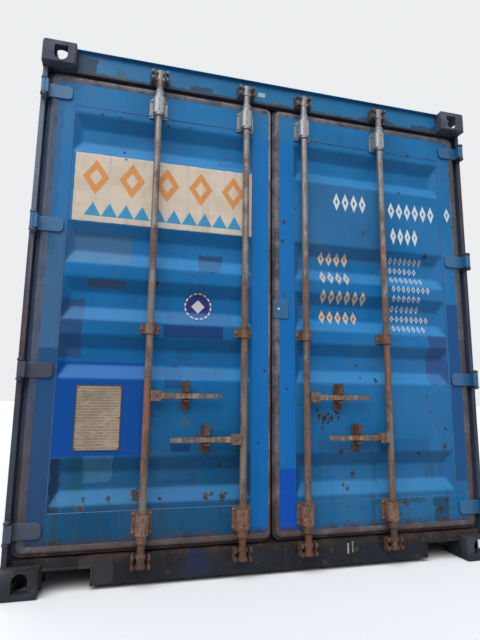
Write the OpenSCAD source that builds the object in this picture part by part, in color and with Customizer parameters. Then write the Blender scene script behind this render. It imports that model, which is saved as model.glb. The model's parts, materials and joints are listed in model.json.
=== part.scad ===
// Twenty foot dry freight container, doors at the -Y end.
// Origin: centre of the footprint at floor level. +Z up, +X to the right of someone facing the doors.
// In the door end's own coordinates, y is the depth behind the outer face of the corner castings.

/* [Overall] */
// Overall length over the corner castings
length = 6058; // [4800:1:12200]
// Overall width over the corner castings
width = 2438; // [2200:1:2600]
// Overall height
height = 2591; // [2400:1:2900]

/* [Corner castings] */
// Size of a casting across the container
casting_x = 162; // [150:1:170]
// Size of a casting along the container
casting_y = 178; // [172:1:190]
// Height of a casting
casting_z = 118; // [112:1:130]
// Thickness of the top or bottom face
casting_face = 28.5; // [20:0.5:32]
// Thickness of the other walls
casting_wall = 10; // [8:0.5:13]
// Radius of the outer edges
casting_edge = 12; // [6:0.5:14]
// Length of the twistlock slot
slot_l = 124; // [118:0.5:126]
// Width of the twistlock slot
slot_w = 63.5; // [60:0.5:66]
// Slot centre from the end of the container
slot_from_end = 102.5; // [98:0.5:104]
// Slot centre from the side of the container
slot_from_side = 89.5; // [85:0.5:95]
// Side hole centre from the end of the container
side_hole_from_end = 89; // [85:0.5:92]
// Width of the hole in the end face
end_hole_w = 63.5; // [55:0.5:66]
// Width of the hole in the side face
side_hole_w = 51; // [45:0.5:60]
// Height of both holes
hole_h = 79.5; // [72:0.5:79.5]

/* [Door end frame] */
// Depth of the front of the posts, header and sill behind the castings
frame_depth = 54; // [54:1:58]
// Depth of the face that the door gaskets close on
stop_depth = 117; // [117:1:125]
// Thickness of the frame's plates
frame_plate = 6; // [4:0.5:8]
// Thickness of the channel inside each door post
channel_t = 12; // [8:0.5:14]
// Outer face of the posts behind the side of the castings
post_inset = 3; // [2:0.5:5]
// Width of the lip on the front of each door post
post_lip = 24; // [18:1:24]
// Distance of the sides of the door opening from the side of the castings
jamb = 49; // [47:1:51]
// Reach of the doors' gaskets past the opening's sides, over the channel's face
seal_lap = 15; // [12:1:16]
// Height of the sill's ledge, which the doors hang over
sill_z = 143; // [130:1:146]
// Underside of the sill
sill_bottom = 20; // [10:1:30]
// Height of the header's ledge below the top of the container
header_drop = 130; // [126:1:140]
// Height of the stop strips above the sill's ledge and below the header's
stop_strip = 26; // [20:1:30]
// Forward reach of the rain gutter at the top of the header
gutter_reach = 18; // [8:1:20]
// Thickness of the rain gutter
gutter_t = 4; // [3:0.5:6]
// Width of the recess beside each bottom casting
sill_recess_w = 197; // [150:1:220]
// Height of the recess beside each bottom casting
sill_recess_h = 73; // [50:1:80]
// Width of the rim round the recess
sill_rim = 9; // [6:0.5:12]
// Thickness of the rim
sill_rim_t = 4; // [3:0.5:6]
// Width of the flanges along the sill's underside
sill_flange = 30; // [20:1:40]

/* [Side frame, floor and underframe] */
// Outer face of the walls and rails behind the side of the castings
wall_inset = 6; // [5.5:0.5:8]
// Outer face of the roof below the top of the castings
roof_drop = 8; // [6:0.5:10]
// Size of the square top side rail
top_rail = 60; // [50:1:70]
// Wall of the top side rail
top_rail_t = 3; // [2:0.5:4]
// Underside of the bottom side rail
side_rail_z = 16; // [12:1:20]
// Height of the bottom side rail
side_rail_h = 162; // [156:1:170]
// Width of the bottom side rail's top flange
side_rail_flange = 48; // [46:1:60]
// Width of the bottom side rail's bottom flange
side_rail_foot = 30; // [25:1:40]
// Thickness of the bottom side rail
side_rail_t = 4.5; // [3:0.5:6]
// Thickness of the floor boards
floor_t = 28; // [19:1:30]
// Height of the cross members
cross_h = 122; // [118:1:126]
// Flange width of the cross members
cross_flange = 45; // [35:1:50]
// Thickness of the cross members
cross_t = 4; // [3:0.5:5]
// Distance between cross members, about
cross_pitch = 280; // [240:1:340]
// Distance between the centres of the fork pockets
pocket_pitch = 2050; // [1900:1:2200]
// Clear width of a fork pocket
pocket_w = 360; // [340:1:380]
// Thickness of the fork pocket plates
pocket_t = 5; // [3:0.5:6]
// Length of the straps under each fork pocket
pocket_strap = 200; // [150:1:300]

/* [Walls and roof] */
// Thickness of the sheet
sheet_t = 2; // [1.6:0.1:3]
// Depth of the side wall's corrugation
side_depth = 36; // [25:1:38]
// Width of the outer flats of the side wall
side_flat = 72; // [60:1:90]
// Width of the slopes of the side wall
side_slope = 68; // [50:1:70]
// Depth of the front wall's corrugation
front_depth = 44; // [30:1:44]
// Width of the outer flats of the front wall
front_flat = 110; // [90:1:120]
// Width of the slopes of the front wall
front_slope = 18; // [16:1:30]
// Depth of the roof's corrugation
roof_depth = 20; // [12:1:25]
// Distance between the roof's corrugations, about
roof_pitch = 209; // [190:1:230]
// Slope at the ends of the roof's corrugations
roof_end = 30; // [20:1:50]
// Edge of the roof outside its corrugations, past the rails
roof_edge = 8; // [4:1:20]
// Edge of the roof behind the outer faces of the rails
roof_set = 5; // [3:1:8]
// Wall of the front end's rails and posts
front_plate = 5; // [3:0.5:6]
// Depth of the front end's rails past the corrugation of the front wall
front_rail_more = 16; // [14:1:30]
// Width of the front posts' side legs
front_leg = 46; // [40:1:60]
// Size of the plates on the corners of the roof
corner_plate = 300; // [200:1:400]
// Thickness of those plates
corner_plate_t = 3; // [2:0.5:4]
// Height of the vents
vent_h = 200; // [150:1:250]
// Depth of the vents
vent_t = 24; // [15:1:30]
// Distance of the vents under the top rails
vent_drop = 60; // [30:1:100]

/* [Doors] */
// Depth of the doors' outer face behind the castings
door_depth = 62; // [62:1:64]
// Thickness of a door
door_t = 50; // [46:1:50]
// Clearance between the doors' gaskets and the frame
seal_gap = 5; // [5:0.5:6]
// Width of the gasket round the sides of a door
seal_w = 42; // [36:1:44]
// Half of the gap between the two doors' steel
centre_half = 26.5; // [24:0.5:32]
// Clearance between the two gaskets in the middle
centre_gap = 9; // [8.5:0.5:10]
// Reach of the right door's gasket past the middle
centre_lap = 3; // [2:0.5:4]
// Depth of the gaskets' face behind the doors' face
seal_set = 4; // [3:0.5:6]
// Width of a door's uprights
stile_w = 91; // [80:1:100]
// Height of a door's top rail
door_top_rail = 129; // [110:1:140]
// Height of a door's bottom rail
door_bottom_rail = 140; // [120:1:150]
// Wall of the door's rails and uprights
door_wall = 3; // [2.5:0.5:4]
// Depth of the door panel's flats behind the door's face
panel_inset = 2; // [1:0.5:4]
// Depth of the recessed corrugations
pan_depth = 34; // [25:1:36]
// Height of a recessed corrugation
pan_h = 211; // [180:1:211]
// Slope at the top and bottom of a corrugation
pan_slope = 68; // [50:1:75]
// Slope at the ends of a corrugation
pan_end = 38; // [30:1:60]
// Distance from the middle corrugation to its neighbours
pan_near = 277; // [265:1:285]
// Distance of the outer corrugations' middles from the ends of the door
pan_from_end = 272; // [265:1:280]

/* [Hinges] */
// Distance of the hinge pins from the side of the castings
pin_side = 20; // [20:0.5:21]
// Depth of the hinge pins behind the castings
pin_depth = 24; // [23:0.5:24]
// Radius of the hinge pins
pin_r = 8; // [6:0.5:8]
// Clearance round pins, rods and rivets
pin_gap = 0.3; // [0.2:0.1:0.5]
// Outer radius of the hinge knuckles
knuckle_r = 13; // [11:0.5:13]
// Height of a hinge blade
blade_h = 70; // [60:1:90]
// Thickness of a hinge blade
blade_t = 10; // [8:0.5:10]
// Reach of a hinge blade over the door's upright
blade_reach = 77; // [60:1:90]
// Thickness of the lugs that hold the hinge pins
lug_t = 12; // [10:1:16]
// Distance of the outer hinges from the ends of the door
hinge_from_end = 76; // [70:1:120]
// How far a hinge pin stands out of its lugs
pin_proud = 5; // [3:1:8]
// Thickness of a blade's arm in front of the post
arm_t = 8; // [6:0.5:8]

/* [Locking gear] */
// Outer radius of the locking bars
bar_r = 17; // [14:0.5:17]
// Wall of the locking bars
bar_wall = 4; // [3:0.5:5]
// Depth of the locking bars' axes behind the castings
bar_depth = 25; // [25:0.5:26]
// Distance of the inner bars from the middle
bar_inner = 167; // [160:1:180]
// Distance of the outer bars from the side of the castings
bar_from_side = 581; // [560:1:620]
// Reach of the bars below the sill's ledge
bar_down = 60; // [58:1:66]
// Reach of the bars above the header's ledge
bar_up = 66; // [62:1:70]
// Length of the solid ends of the bars
bar_plug = 70; // [50:1:100]
// Radius of the locking cams
cam_r = 24; // [21:0.5:24]
// Half of the gap between the cheeks of a keeper
keeper_half = 30; // [30:0.5:34]
// Thickness of a keeper's cheeks
keeper_t = 14; // [10:1:16]
// Forward reach of a keeper's cheeks
keeper_reach = 48; // [40:1:50]
// Height of a keeper
keeper_h = 62; // [56:1:64]
// Distance of the upper keepers from the header's ledge
keeper_up = 9; // [6:1:12]
// Height of the jaws above and below a keeper's mouth
jaw_h = 20; // [16:1:22]
// Depth of a keeper's mouth
mouth_d = 22; // [16:1:26]
// Height of a cam's lobes
lobe_h = 14; // [10:1:16]
// Radius of the collars that hold the bars
collar_r = 23; // [22:0.5:23]
// How far the rings stand out of the collars
ring_out = 1.5; // [1:0.5:1.5]
// Height of those rings
ring_h = 8; // [5:1:10]
// Width of the upper and lower bar guides
guide_w = 92; // [80:1:100]
// Height of the upper and lower bar guides
guide_h = 107; // [90:1:110]
// Height of the middle bar guides
mid_guide_h = 46; // [36:1:54]
// Length of the collar past the plate of the upper and lower guides
guide_nose = 26; // [16:1:30]
// Length of the collar past the plate of the middle guides
mid_guide_nose = 6; // [4:1:12]
// Distance of the upper guides' plates' middle from the top of the door
guide_from_top = 88; // [85:1:92]
// Distance of the lower guides' plates' middle from the bottom of the door
guide_from_bottom = 85; // [82:1:90]
// Thickness of the guides' plates
guide_t = 6; // [4:0.5:8]

/* [Handles] */
// Height of the upper handles
handle_high = 845; // [830:1:860]
// Height of the lower handles
handle_low = 640; // [625:1:655]
// Length of a handle from the axis of its bar
handle_l = 360; // [300:1:400]
// Height of a handle at its root
handle_h = 28; // [24:1:30]
// Height of a handle at its tip
handle_tip = 19; // [14:1:22]
// Thickness of a handle
handle_t = 10; // [8:0.5:10]
// Depth of a handle's front behind the castings
handle_depth = 10; // [10:0.5:11]
// Distance of a handle's rivet from the axis of its bar
rivet_out = 41; // [40:1:44]
// Height of the hub that holds a handle
hub_h = 50; // [44:1:54]
// Thickness of the hub's plates
hub_t = 5; // [4:0.5:6]
// Clearance between a handle and the hub's plates
hub_gap = 2; // [1:0.5:2.5]
// Radius of the handles' and catches' rivets
rivet_r = 6; // [5:0.5:7]
// Distance of a handle's retainer from the axis of its bar
retainer_out = 185; // [175:1:200]
// Width of a retainer
retainer_w = 42; // [36:1:46]
// Height of a retainer
retainer_h = 146; // [140:1:150]
// Thickness of a retainer's base
retainer_t = 8; // [6:1:10]
// Thickness of the seat under a handle
seat_t = 8; // [6:1:10]
// Height of the catches' rivets above the middle of the handles
catch_up = 60; // [56:1:62]
// Width of a catch
catch_w = 24; // [20:1:28]
// Thickness of a catch
catch_t = 4; // [3:0.5:4]
// Clearance round a handle, in front, behind, above and below
lift_gap = 5; // [5:0.5:6]

/* [Plates] */
// Distance of the data plate from the outer upright of the door
data_side = 92; // [60:1:120]
// Width of the data plate
data_w = 208; // [150:1:220]
// Height of the data plate
data_h = 300; // [200:1:310]
// Thickness of the data plate
data_t = 3; // [2:0.5:4]
// Width of the overlap plate in the middle of the doors
overlap_w = 83; // [70:1:88]
// Height of the overlap plate
overlap_h = 100; // [80:1:120]
// Thickness of the overlap plate
overlap_t = 6; // [4:0.5:8]
// Radius of the overlap plate's corners
overlap_edge = 10; // [5:1:20]

/* [Hidden] */

// Amount by which a cut runs past a face
over = 1;
round_fn = 48;

half_w = width / 2;
half_l = length / 2;
clear_x = half_w - casting_x;
clear_y = half_l - casting_y;
post_bottom = casting_z;
post_top = height - casting_z;
opening_w = width - 2 * jamb;
header_z = height - header_drop;
roof_z = height - roof_drop;
sill_top = sill_z + stop_strip;
header_stop = header_z - stop_strip;
rail_x = half_w - wall_inset;
rail_web = rail_x - side_rail_t;
rail_top = side_rail_z + side_rail_h;
floor_z = sill_top - floor_t;
cross_z = floor_z - cross_h;
pocket_top = floor_z - pocket_t;
front_rail = front_depth + front_rail_more;
front_inset = wall_inset;

pin_x = half_w - pin_side;
door_z0 = sill_z + seal_w;
door_z1 = header_z - seal_w;
door_mid = (door_z0 + door_z1) / 2;
door_edge = half_w - jamb + seal_lap - seal_w;
door_back = door_depth + door_t;
panel_x0 = centre_half + stile_w;
panel_x1 = door_edge - stile_w;
panel_z0 = door_z0 + door_bottom_rail;
panel_z1 = door_z1 - door_top_rail;
panel_face = door_depth + panel_inset;
pan_far = (door_z1 - door_z0) / 2 - pan_from_end;
pans = [-pan_far, -pan_near, 0, pan_near, pan_far];
hinge_far = (door_z1 - door_z0) / 2 - hinge_from_end;
hinges = [-hinge_far, -hinge_far / 3, hinge_far / 3, hinge_far];

bar_outer = half_w - bar_from_side;
bar_z0 = sill_z - bar_down;
bar_z1 = header_z + bar_up;
// Each guide: middle height, height of its plate, nose of its collar, depth of what it sits on, its way up
guides = [
    [door_z1 - guide_from_top, guide_h, guide_nose, door_depth, 1],
    [door_mid - pan_near / 2, mid_guide_h, mid_guide_nose, panel_face, 1],
    [door_z0 + guide_from_bottom, guide_h, guide_nose, door_depth, -1]
];
handle_eye = handle_h / 2 + 2;
retainer_front = handle_depth + handle_t + lift_gap;
seat_z = -handle_h / 2 - lift_gap;

// Placing helpers

// Door end: local y is the depth behind the castings
module door_end() {
    translate([0, -half_l, 0]) children();
}

// Front end: the same, mirrored
module front_end() {
    mirror([0, 1, 0]) door_end() children();
}

module right_and_left() {
    children();
    mirror([1, 0, 0]) children();
}

// Profile drawn as [y, z], run across the container
module across(len) {
    rotate([90, 0, 90]) linear_extrude(len, center = true) children();
}

// Profile drawn as [x, z], run along the container
module along(len) {
    rotate([90, 0, 0]) linear_extrude(len, center = true) children();
}

module box(x0, x1, y0, y1, z0, z1) {
    translate([x0, y0, z0]) cube([x1 - x0, y1 - y0, z1 - z0]);
}

// Rectangle between two corners
module rect(x0, x1, y0, y1) {
    translate([x0, y0]) square([x1 - x0, y1 - y0]);
}

// Right hand side, in plan: a is the distance in from the side of the castings
module plan(a0, a1, y0, y1) {
    rect(half_w - a1, half_w - a0, y0, y1);
}

module stadium(w, h) {
    square([w, h - w], center = true);
    for (s = [-1, 1]) translate([0, s * (h - w) / 2]) circle(d = w, $fn = round_fn);
}

module rounded(x, y, r) {
    translate([r, 0]) square([x - 2 * r, y]);
    translate([0, r]) square([x, y - 2 * r]);
    for (cx = [r, x - r], cy = [r, y - r]) translate([cx, cy]) circle(r, $fn = round_fn);
}

// Flat edge at the bottom, round at the top
module shield(w, h) {
    rect(-w / 2, w / 2, 0, h - w / 2);
    translate([0, h - w / 2]) circle(d = w, $fn = round_fn);
}

// Corner castings

// Outer corner at the origin, x and y inwards, outer face at z = 0
module casting() {
    hollow_z = casting_z - casting_wall - casting_face;
    difference() {
        intersection() {
            linear_extrude(casting_z) rounded(casting_x, casting_y, casting_edge);
            translate([0, casting_y, 0]) rotate([90, 0, 0])
                linear_extrude(casting_y) rounded(casting_x, 2 * casting_z, casting_edge);
            rotate([90, 0, 90]) linear_extrude(casting_x) rounded(casting_y, 2 * casting_z, casting_edge);
        }
        translate([casting_wall, casting_wall, casting_face])
            cube([casting_x - 2 * casting_wall, casting_y - 2 * casting_wall, hollow_z]);
        translate([slot_from_side, slot_from_end, -over])
            linear_extrude(casting_face + 2 * over) stadium(slot_w, slot_l);
        translate([slot_from_side, casting_wall + over, casting_face])
            rotate([90, 0, 0]) linear_extrude(casting_wall + 2 * over) shield(end_hole_w, hole_h);
        translate([-over, side_hole_from_end, casting_face])
            rotate([90, 0, 90]) linear_extrude(casting_wall + 2 * over) shield(side_hole_w, hole_h);
    }
}

module four_castings() {
    right_and_left() {
        for (end = [0, 1])
            rotate([0, 0, end * 180]) mirror([end, 0, 0])
                translate([-half_w, -half_l, 0]) casting();
    }
}

module bottom_corner_castings() {
    color([0.29, 0.29, 0.33]) four_castings();
}

module top_corner_castings() {
    color([0.29, 0.29, 0.33]) translate([0, 0, height]) mirror([0, 0, 1]) four_castings();
}

// Door end frame

// Pressed outer plate with its front lip, and the channel that the door closes on
module door_post_profile() {
    side = post_inset + frame_plate;
    plan(post_inset, side, frame_depth, casting_y);
    plan(post_inset, post_inset + post_lip, frame_depth, frame_depth + frame_plate);
    plan(post_inset, jamb, casting_y - frame_plate, casting_y);
    plan(side - over, jamb, stop_depth, stop_depth + channel_t);
    plan(jamb - channel_t, jamb, stop_depth, casting_y);
}

module right_door_post() {
    color([0.24, 0.25, 0.34]) door_end() translate([0, 0, post_bottom])
        linear_extrude(post_top - post_bottom) door_post_profile();
}

module left_door_post() {
    mirror([1, 0, 0]) right_door_post();
}

// Room that the castings take out of what runs over them
module casting_room(z0, z1) {
    right_and_left() box(clear_x, half_w + over, -over, casting_y + over, z0, z1);
}

module door_sill() {
    p = frame_plate;
    recess_x1 = clear_x - sill_rim;
    recess_x0 = recess_x1 - sill_recess_w;
    recess_z = sill_bottom + sill_recess_h;
    rim_y = frame_depth - sill_rim_t;
    color([0.17, 0.17, 0.2]) door_end() difference() {
        union() {
            across(opening_w) {
                rect(frame_depth, frame_depth + p, sill_bottom, sill_z);
                rect(frame_depth, stop_depth + p, sill_z - p, sill_z);
                rect(stop_depth, stop_depth + p, sill_z - p, sill_top);
                rect(stop_depth, casting_y, sill_top - p, sill_top);
                rect(casting_y - p, casting_y, sill_bottom, sill_top);
                rect(frame_depth, frame_depth + sill_flange, sill_bottom, sill_bottom + p);
                rect(casting_y - sill_flange, casting_y, sill_bottom, sill_bottom + p);
            }
            // Rim round each recess, and its lining
            right_and_left() {
                box(recess_x0 - sill_rim, clear_x, rim_y, frame_depth, sill_bottom, recess_z + sill_rim);
                box(recess_x0 - p, recess_x0, frame_depth, casting_y - p, sill_bottom, recess_z + p);
                box(recess_x0 - p, clear_x, frame_depth, casting_y - p, recess_z, recess_z + p);
            }
        }
        casting_room(-over, casting_z);
        right_and_left()
            box(recess_x0, recess_x1, rim_y - over, casting_y + over,
                sill_bottom - over, recess_z);
    }
}

module door_header() {
    p = frame_plate;
    color([0.2, 0.42, 0.66]) door_end() difference() {
        across(opening_w) {
            rect(frame_depth, frame_depth + p, header_z, roof_z);
            rect(frame_depth, stop_depth + p, header_z, header_z + p);
            rect(stop_depth, stop_depth + p, header_stop, header_z + p);
            rect(stop_depth, casting_y, header_stop, header_stop + p);
            rect(casting_y - p, casting_y, header_stop, roof_z);
            rect(frame_depth, casting_y, roof_z - p, roof_z);
        }
        casting_room(post_top, height + over);
    }
}

module rain_gutter() {
    color([0.2, 0.42, 0.66]) door_end()
        box(-clear_x, clear_x, frame_depth - gutter_reach, frame_depth, roof_z - gutter_t, roof_z);
}

// Front end frame

// L-shaped hollow post
module front_post_profile() {
    p = front_plate;
    leg = front_leg;
    difference() {
        union() {
            plan(post_inset, casting_x, front_inset, front_rail);
            plan(post_inset, post_inset + leg, front_inset, casting_y);
        }
        plan(post_inset + p, casting_x - p, front_inset + p, front_rail - p);
        plan(post_inset + p, post_inset + leg - p, front_inset + p, casting_y - p);
    }
}

module front_posts() {
    color([0.11, 0.33, 0.56]) front_end() translate([0, 0, post_bottom])
        linear_extrude(post_top - post_bottom) right_and_left() front_post_profile();
}

// Rectangular tube along the front end
module front_tube(z0, z1) {
    p = front_plate;
    front_end() across(2 * clear_x) difference() {
        rect(front_inset, front_rail, z0, z1);
        rect(front_inset + p, front_rail - p, z0 + p, z1 - p);
    }
}

module front_header() {
    color([0.11, 0.33, 0.56]) front_tube(post_top, roof_z);
}

module front_sill() {
    color([0.17, 0.17, 0.2]) front_tube(side_rail_z, sill_z);
}

// Side rails, floor and underframe

module top_side_rails() {
    t = top_rail_t;
    z0 = roof_z - sheet_t - top_rail;
    color([0.11, 0.33, 0.56]) right_and_left() along(2 * clear_y) difference() {
        rect(rail_x - top_rail, rail_x, z0, z0 + top_rail);
        rect(rail_x - top_rail + t, rail_x - t, z0 + t, z0 + top_rail - t);
    }
}

module right_bottom_rail() {
    t = side_rail_t;
    color([0.17, 0.17, 0.2]) difference() {
        along(2 * clear_y) {
            rect(rail_web, rail_x, side_rail_z, rail_top);
            rect(rail_x - side_rail_flange, rail_x, rail_top - t, rail_top);
            rect(rail_x - side_rail_foot, rail_x, side_rail_z, side_rail_z + t);
        }
        for (s = [-1, 1])
            box(rail_web - over, rail_x + over,
                s * pocket_pitch / 2 - pocket_w / 2, s * pocket_pitch / 2 + pocket_w / 2,
                side_rail_z + t, pocket_top);
    }
}

module left_bottom_rail() {
    mirror([1, 0, 0]) right_bottom_rail();
}

module cross_member() {
    t = cross_t;
    across(2 * rail_web) {
        rect(0, t, cross_z, floor_z);
        rect(0, cross_flange, floor_z - t, floor_z);
        rect(0, cross_flange, cross_z, cross_z + t);
    }
}

// Evenly spaced members between two places, with none at the ends
module members(y0, y1) {
    n = round((y1 - y0) / cross_pitch);
    for (i = [1 : n - 1])
        translate([0, y0 + i * (y1 - y0) / n - cross_flange / 2, 0]) cross_member();
}

module cross_members() {
    inner = pocket_pitch / 2 - pocket_w / 2;
    outer = pocket_pitch / 2 + pocket_w / 2;
    color([0.15, 0.15, 0.17]) difference() {
        union() {
            members(-inner, inner);
            members(outer, clear_y + casting_y - front_rail);
            members(-clear_y, -outer);
        }
        // The bottom flanges of the side rails
        right_and_left() along(2 * half_l)
            rect(rail_x - side_rail_foot, rail_x + over, cross_z - over, side_rail_z + side_rail_t);
    }
}

module fork_pocket() {
    t = pocket_t;
    half = pocket_w / 2;
    strap_x0 = rail_web - pocket_strap;
    strap_x1 = rail_x - side_rail_foot;
    across(2 * rail_web) {
        rect(-half - t, -half, side_rail_z + side_rail_t, floor_z);
        rect(half, half + t, side_rail_z + side_rail_t, floor_z);
        rect(-half - t, half + t, pocket_top, floor_z);
    }
    right_and_left() {
        box(strap_x0, strap_x1, -half - t, half + t, side_rail_z, side_rail_z + side_rail_t);
        box(strap_x0, strap_x1, -half - t, -half, side_rail_z, side_rail_z + 2 * t);
        box(strap_x0, strap_x1, half, half + t, side_rail_z, side_rail_z + 2 * t);
    }
}

module fork_pockets() {
    color([0.15, 0.15, 0.17]) for (s = [-1, 1]) translate([0, s * pocket_pitch / 2, 0]) fork_pocket();
}

module floor() {
    color([0.45, 0.3, 0.2]) {
        box(-rail_web, rail_web, -clear_y, clear_y, floor_z, sill_top);
        box(-half_w + post_inset + front_leg, half_w - post_inset - front_leg,
            clear_y, half_l - front_rail, floor_z, sill_top);
    }
}

// Walls and roof

// Number of recesses in a corrugated sheet, and where the first one's slope starts
function wave_count(len, flat, slope) = floor((len - flat) / (2 * (flat + slope)));
function wave_start(len, flat, slope) =
    (len - wave_count(len, flat, slope) * 2 * (flat + slope) + flat) / 2;

// One corrugation after another along x, y is the depth
function wave(len, depth, flat, slope) =
    let (
        pitch = 2 * (flat + slope),
        n = wave_count(len, flat, slope),
        start = wave_start(len, flat, slope)
    )
    concat(
        [[0, 0]],
        [for (i = [0 : n - 1]) each [
            [start + i * pitch, 0],
            [start + i * pitch + slope, depth],
            [start + i * pitch + slope + flat, depth],
            [start + i * pitch + 2 * slope + flat, 0]
        ]],
        [[len, 0]]
    );

module wave_sheet(len, depth, flat, slope) {
    face = wave(len, depth, flat, slope);
    last = len(face) - 1;
    polygon(concat(face, [for (i = [0 : last]) face[last - i] + [0, sheet_t]]));
}

module right_side_wall() {
    z1 = roof_z - sheet_t - top_rail;
    color([0.11, 0.35, 0.58]) translate([rail_x, -clear_y, rail_top]) rotate([0, 0, 90])
        linear_extrude(z1 - rail_top) wave_sheet(2 * clear_y, side_depth, side_flat, side_slope);
}

module left_side_wall() {
    mirror([1, 0, 0]) right_side_wall();
}

// Cover of an air hole, open underneath, on a recess that starts at y
module vent(y) {
    back = rail_x - side_depth;
    front = back + vent_t;
    top = roof_z - sheet_t - top_rail - vent_drop;
    difference() {
        box(back, front, y + sheet_t, y + side_flat - sheet_t, top - vent_h, top);
        box(back - over, front - sheet_t, y + 2 * sheet_t, y + side_flat - 2 * sheet_t,
            top - vent_h - over, top - sheet_t);
    }
}

// In the first recess of each wall from either end
module vents() {
    first = wave_start(2 * clear_y, side_flat, side_slope) + side_slope;
    color([0.11, 0.33, 0.56]) right_and_left()
        for (y = [first - clear_y, clear_y - first - side_flat]) vent(y);
}

module front_wall() {
    color([0.11, 0.35, 0.58]) front_end() translate([-clear_x, front_inset + front_plate, sill_z])
        linear_extrude(post_top - sill_z) wave_sheet(2 * clear_x, front_depth, front_flat, front_slope);
}

// Block with sloping ends and sides, its mouth at y = 0, its floor at y = deep
module pan(w, h, deep, end, slope, front) {
    intersection() {
        rotate([90, 0, 90]) linear_extrude(2 * w, center = true)
            polygon([
                [-front, -h / 2 - front * slope / deep], [-front, h / 2 + front * slope / deep],
                [deep, h / 2 - slope], [deep, -h / 2 + slope]
            ]);
        linear_extrude(2 * h, center = true)
            polygon([
                [-w / 2 - front * end / deep, -front], [w / 2 + front * end / deep, -front],
                [w / 2 - end, deep], [-w / 2 + end, deep]
            ]);
    }
}

module roof() {
    n = round(2 * clear_y / roof_pitch);
    pitch = 2 * clear_y / n;
    pan_w = 2 * (rail_x - top_rail - roof_edge);
    pan_y = pitch * 0.56;
    slope = pitch * 0.11;
    color([0.11, 0.33, 0.56]) difference() {
        union() {
            box(-rail_x + roof_set, rail_x - roof_set, -clear_y, clear_y, roof_z - sheet_t, roof_z);
            box(-clear_x, clear_x, 0, half_l - front_rail, roof_z - sheet_t, roof_z);
            for (i = [0 : n - 1])
                translate([0, (i + 0.5) * pitch - clear_y, roof_z - sheet_t]) rotate([-90, 0, 0])
                    pan(pan_w, pan_y, roof_depth, roof_end, slope, sheet_t / 2);
        }
        for (i = [0 : n - 1])
            translate([0, (i + 0.5) * pitch - clear_y, roof_z]) rotate([-90, 0, 0])
                pan(pan_w, pan_y, roof_depth, roof_end, slope, over);
    }
}

module roof_corner_plates() {
    color([0.11, 0.33, 0.56]) right_and_left() for (s = [-1, 1])
        translate([rail_x - roof_set - corner_plate / 2, s * (clear_y - corner_plate / 2), roof_z])
            linear_extrude(corner_plate_t) square(corner_plate, center = true);
}

// Fixed hardware of the door end

// Two lugs on a post and the pin between them
module hinge_lug_pair() {
    lug_r = knuckle_r + 2;
    reach = blade_h / 2 + 2;
    translate([pin_x, pin_depth, 0]) {
        cylinder(r = pin_r, h = 2 * (reach + lug_t + pin_proud), center = true, $fn = round_fn);
        for (s = [-1, 1]) translate([0, 0, s * (reach + lug_t / 2)]) {
            cylinder(r = lug_r, h = lug_t, center = true, $fn = round_fn);
            translate([0, (frame_depth - pin_depth) / 2, 0])
                cube([2 * lug_r - 4, frame_depth - pin_depth, lug_t], center = true);
        }
    }
}

module hinge_lugs() {
    color([0.22, 0.23, 0.3]) door_end() right_and_left()
        for (z = hinges) translate([0, 0, door_mid + z]) hinge_lug_pair();
}

// The two cheeks of a keeper, each with an upper and a lower jaw, open to the front
module keeper(z0) {
    front = frame_depth - keeper_reach;
    z1 = z0 + keeper_h;
    bevel = 6;
    for (s = [-1, 1])
        translate([s * (keeper_half + keeper_t / 2), 0, 0]) rotate([90, 0, 90])
            linear_extrude(keeper_t, center = true) difference() {
                polygon([
                    [frame_depth, z0], [frame_depth, z1], [front + bevel, z1], [front, z1 - bevel],
                    [front, z0 + bevel], [front + bevel, z0]
                ]);
                rect(front - over, front + mouth_d, z0 + jaw_h, z1 - jaw_h);
            }
}

module cam_keepers() {
    color([0.62, 0.58, 0.54]) door_end() right_and_left()
        for (x = [bar_inner, bar_outer], z = [header_z + keeper_up, sill_z - keeper_h])
            translate([x, 0, 0]) keeper(z);
}

// Doors: the right one, and its mirror image

module door_frame() {
    w = door_wall;
    y0 = door_depth;
    difference() {
        box(centre_half, door_edge, y0, door_back, door_z0, door_z1);
        box(panel_x0, panel_x1, y0 - over, door_back + over, panel_z0, panel_z1);
        // Hollow uprights
        for (x = [centre_half, panel_x1])
            box(x + w, x + stile_w - w, y0 + w, door_back - w, door_z0 - over, door_z1 + over);
        // Rails open at the back
        box(panel_x0, panel_x1, y0 + w, door_back + over, panel_z1 + w, door_z1 - w);
        box(panel_x0, panel_x1, y0 + w, door_back + over, door_z0 + w, panel_z0 - w);
    }
}

module door_panel() {
    w = panel_x1 - panel_x0;
    pan_w = w - 2 * sheet_t;
    difference() {
        union() {
            box(panel_x0, panel_x1, panel_face, panel_face + sheet_t, panel_z0, panel_z1);
            for (z = pans) translate([panel_x0 + w / 2, panel_face + sheet_t, door_mid + z])
                pan(pan_w, pan_h, pan_depth, pan_end, pan_slope, sheet_t / 2);
        }
        for (z = pans) translate([panel_x0 + w / 2, panel_face, door_mid + z])
            pan(pan_w, pan_h, pan_depth, pan_end, pan_slope, over);
    }
}

// Rubber round a door, inner is the edge in the middle of the container
module door_gasket(inner) {
    front = door_depth + seal_set;
    difference() {
        box(inner, door_edge + seal_w, front, door_back, sill_z + seal_gap, header_z - seal_gap);
        box(centre_half, door_edge, front - over, door_back + over, door_z0, door_z1);
    }
}

module hinge_blade() {
    leg = pin_side + knuckle_r - 1;
    arm = pin_depth - knuckle_r + 2;
    linear_extrude(blade_h, center = true) difference() {
        union() {
            translate([pin_x, pin_depth]) circle(knuckle_r, $fn = round_fn);
            plan(pin_side + 2, leg + blade_t, arm, arm + arm_t);
            plan(leg, leg + blade_t, arm, door_depth);
            plan(leg, half_w - door_edge + blade_reach, door_depth - blade_t, door_depth);
        }
        translate([pin_x, pin_depth]) circle(pin_r + pin_gap, $fn = round_fn);
    }
}

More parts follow.
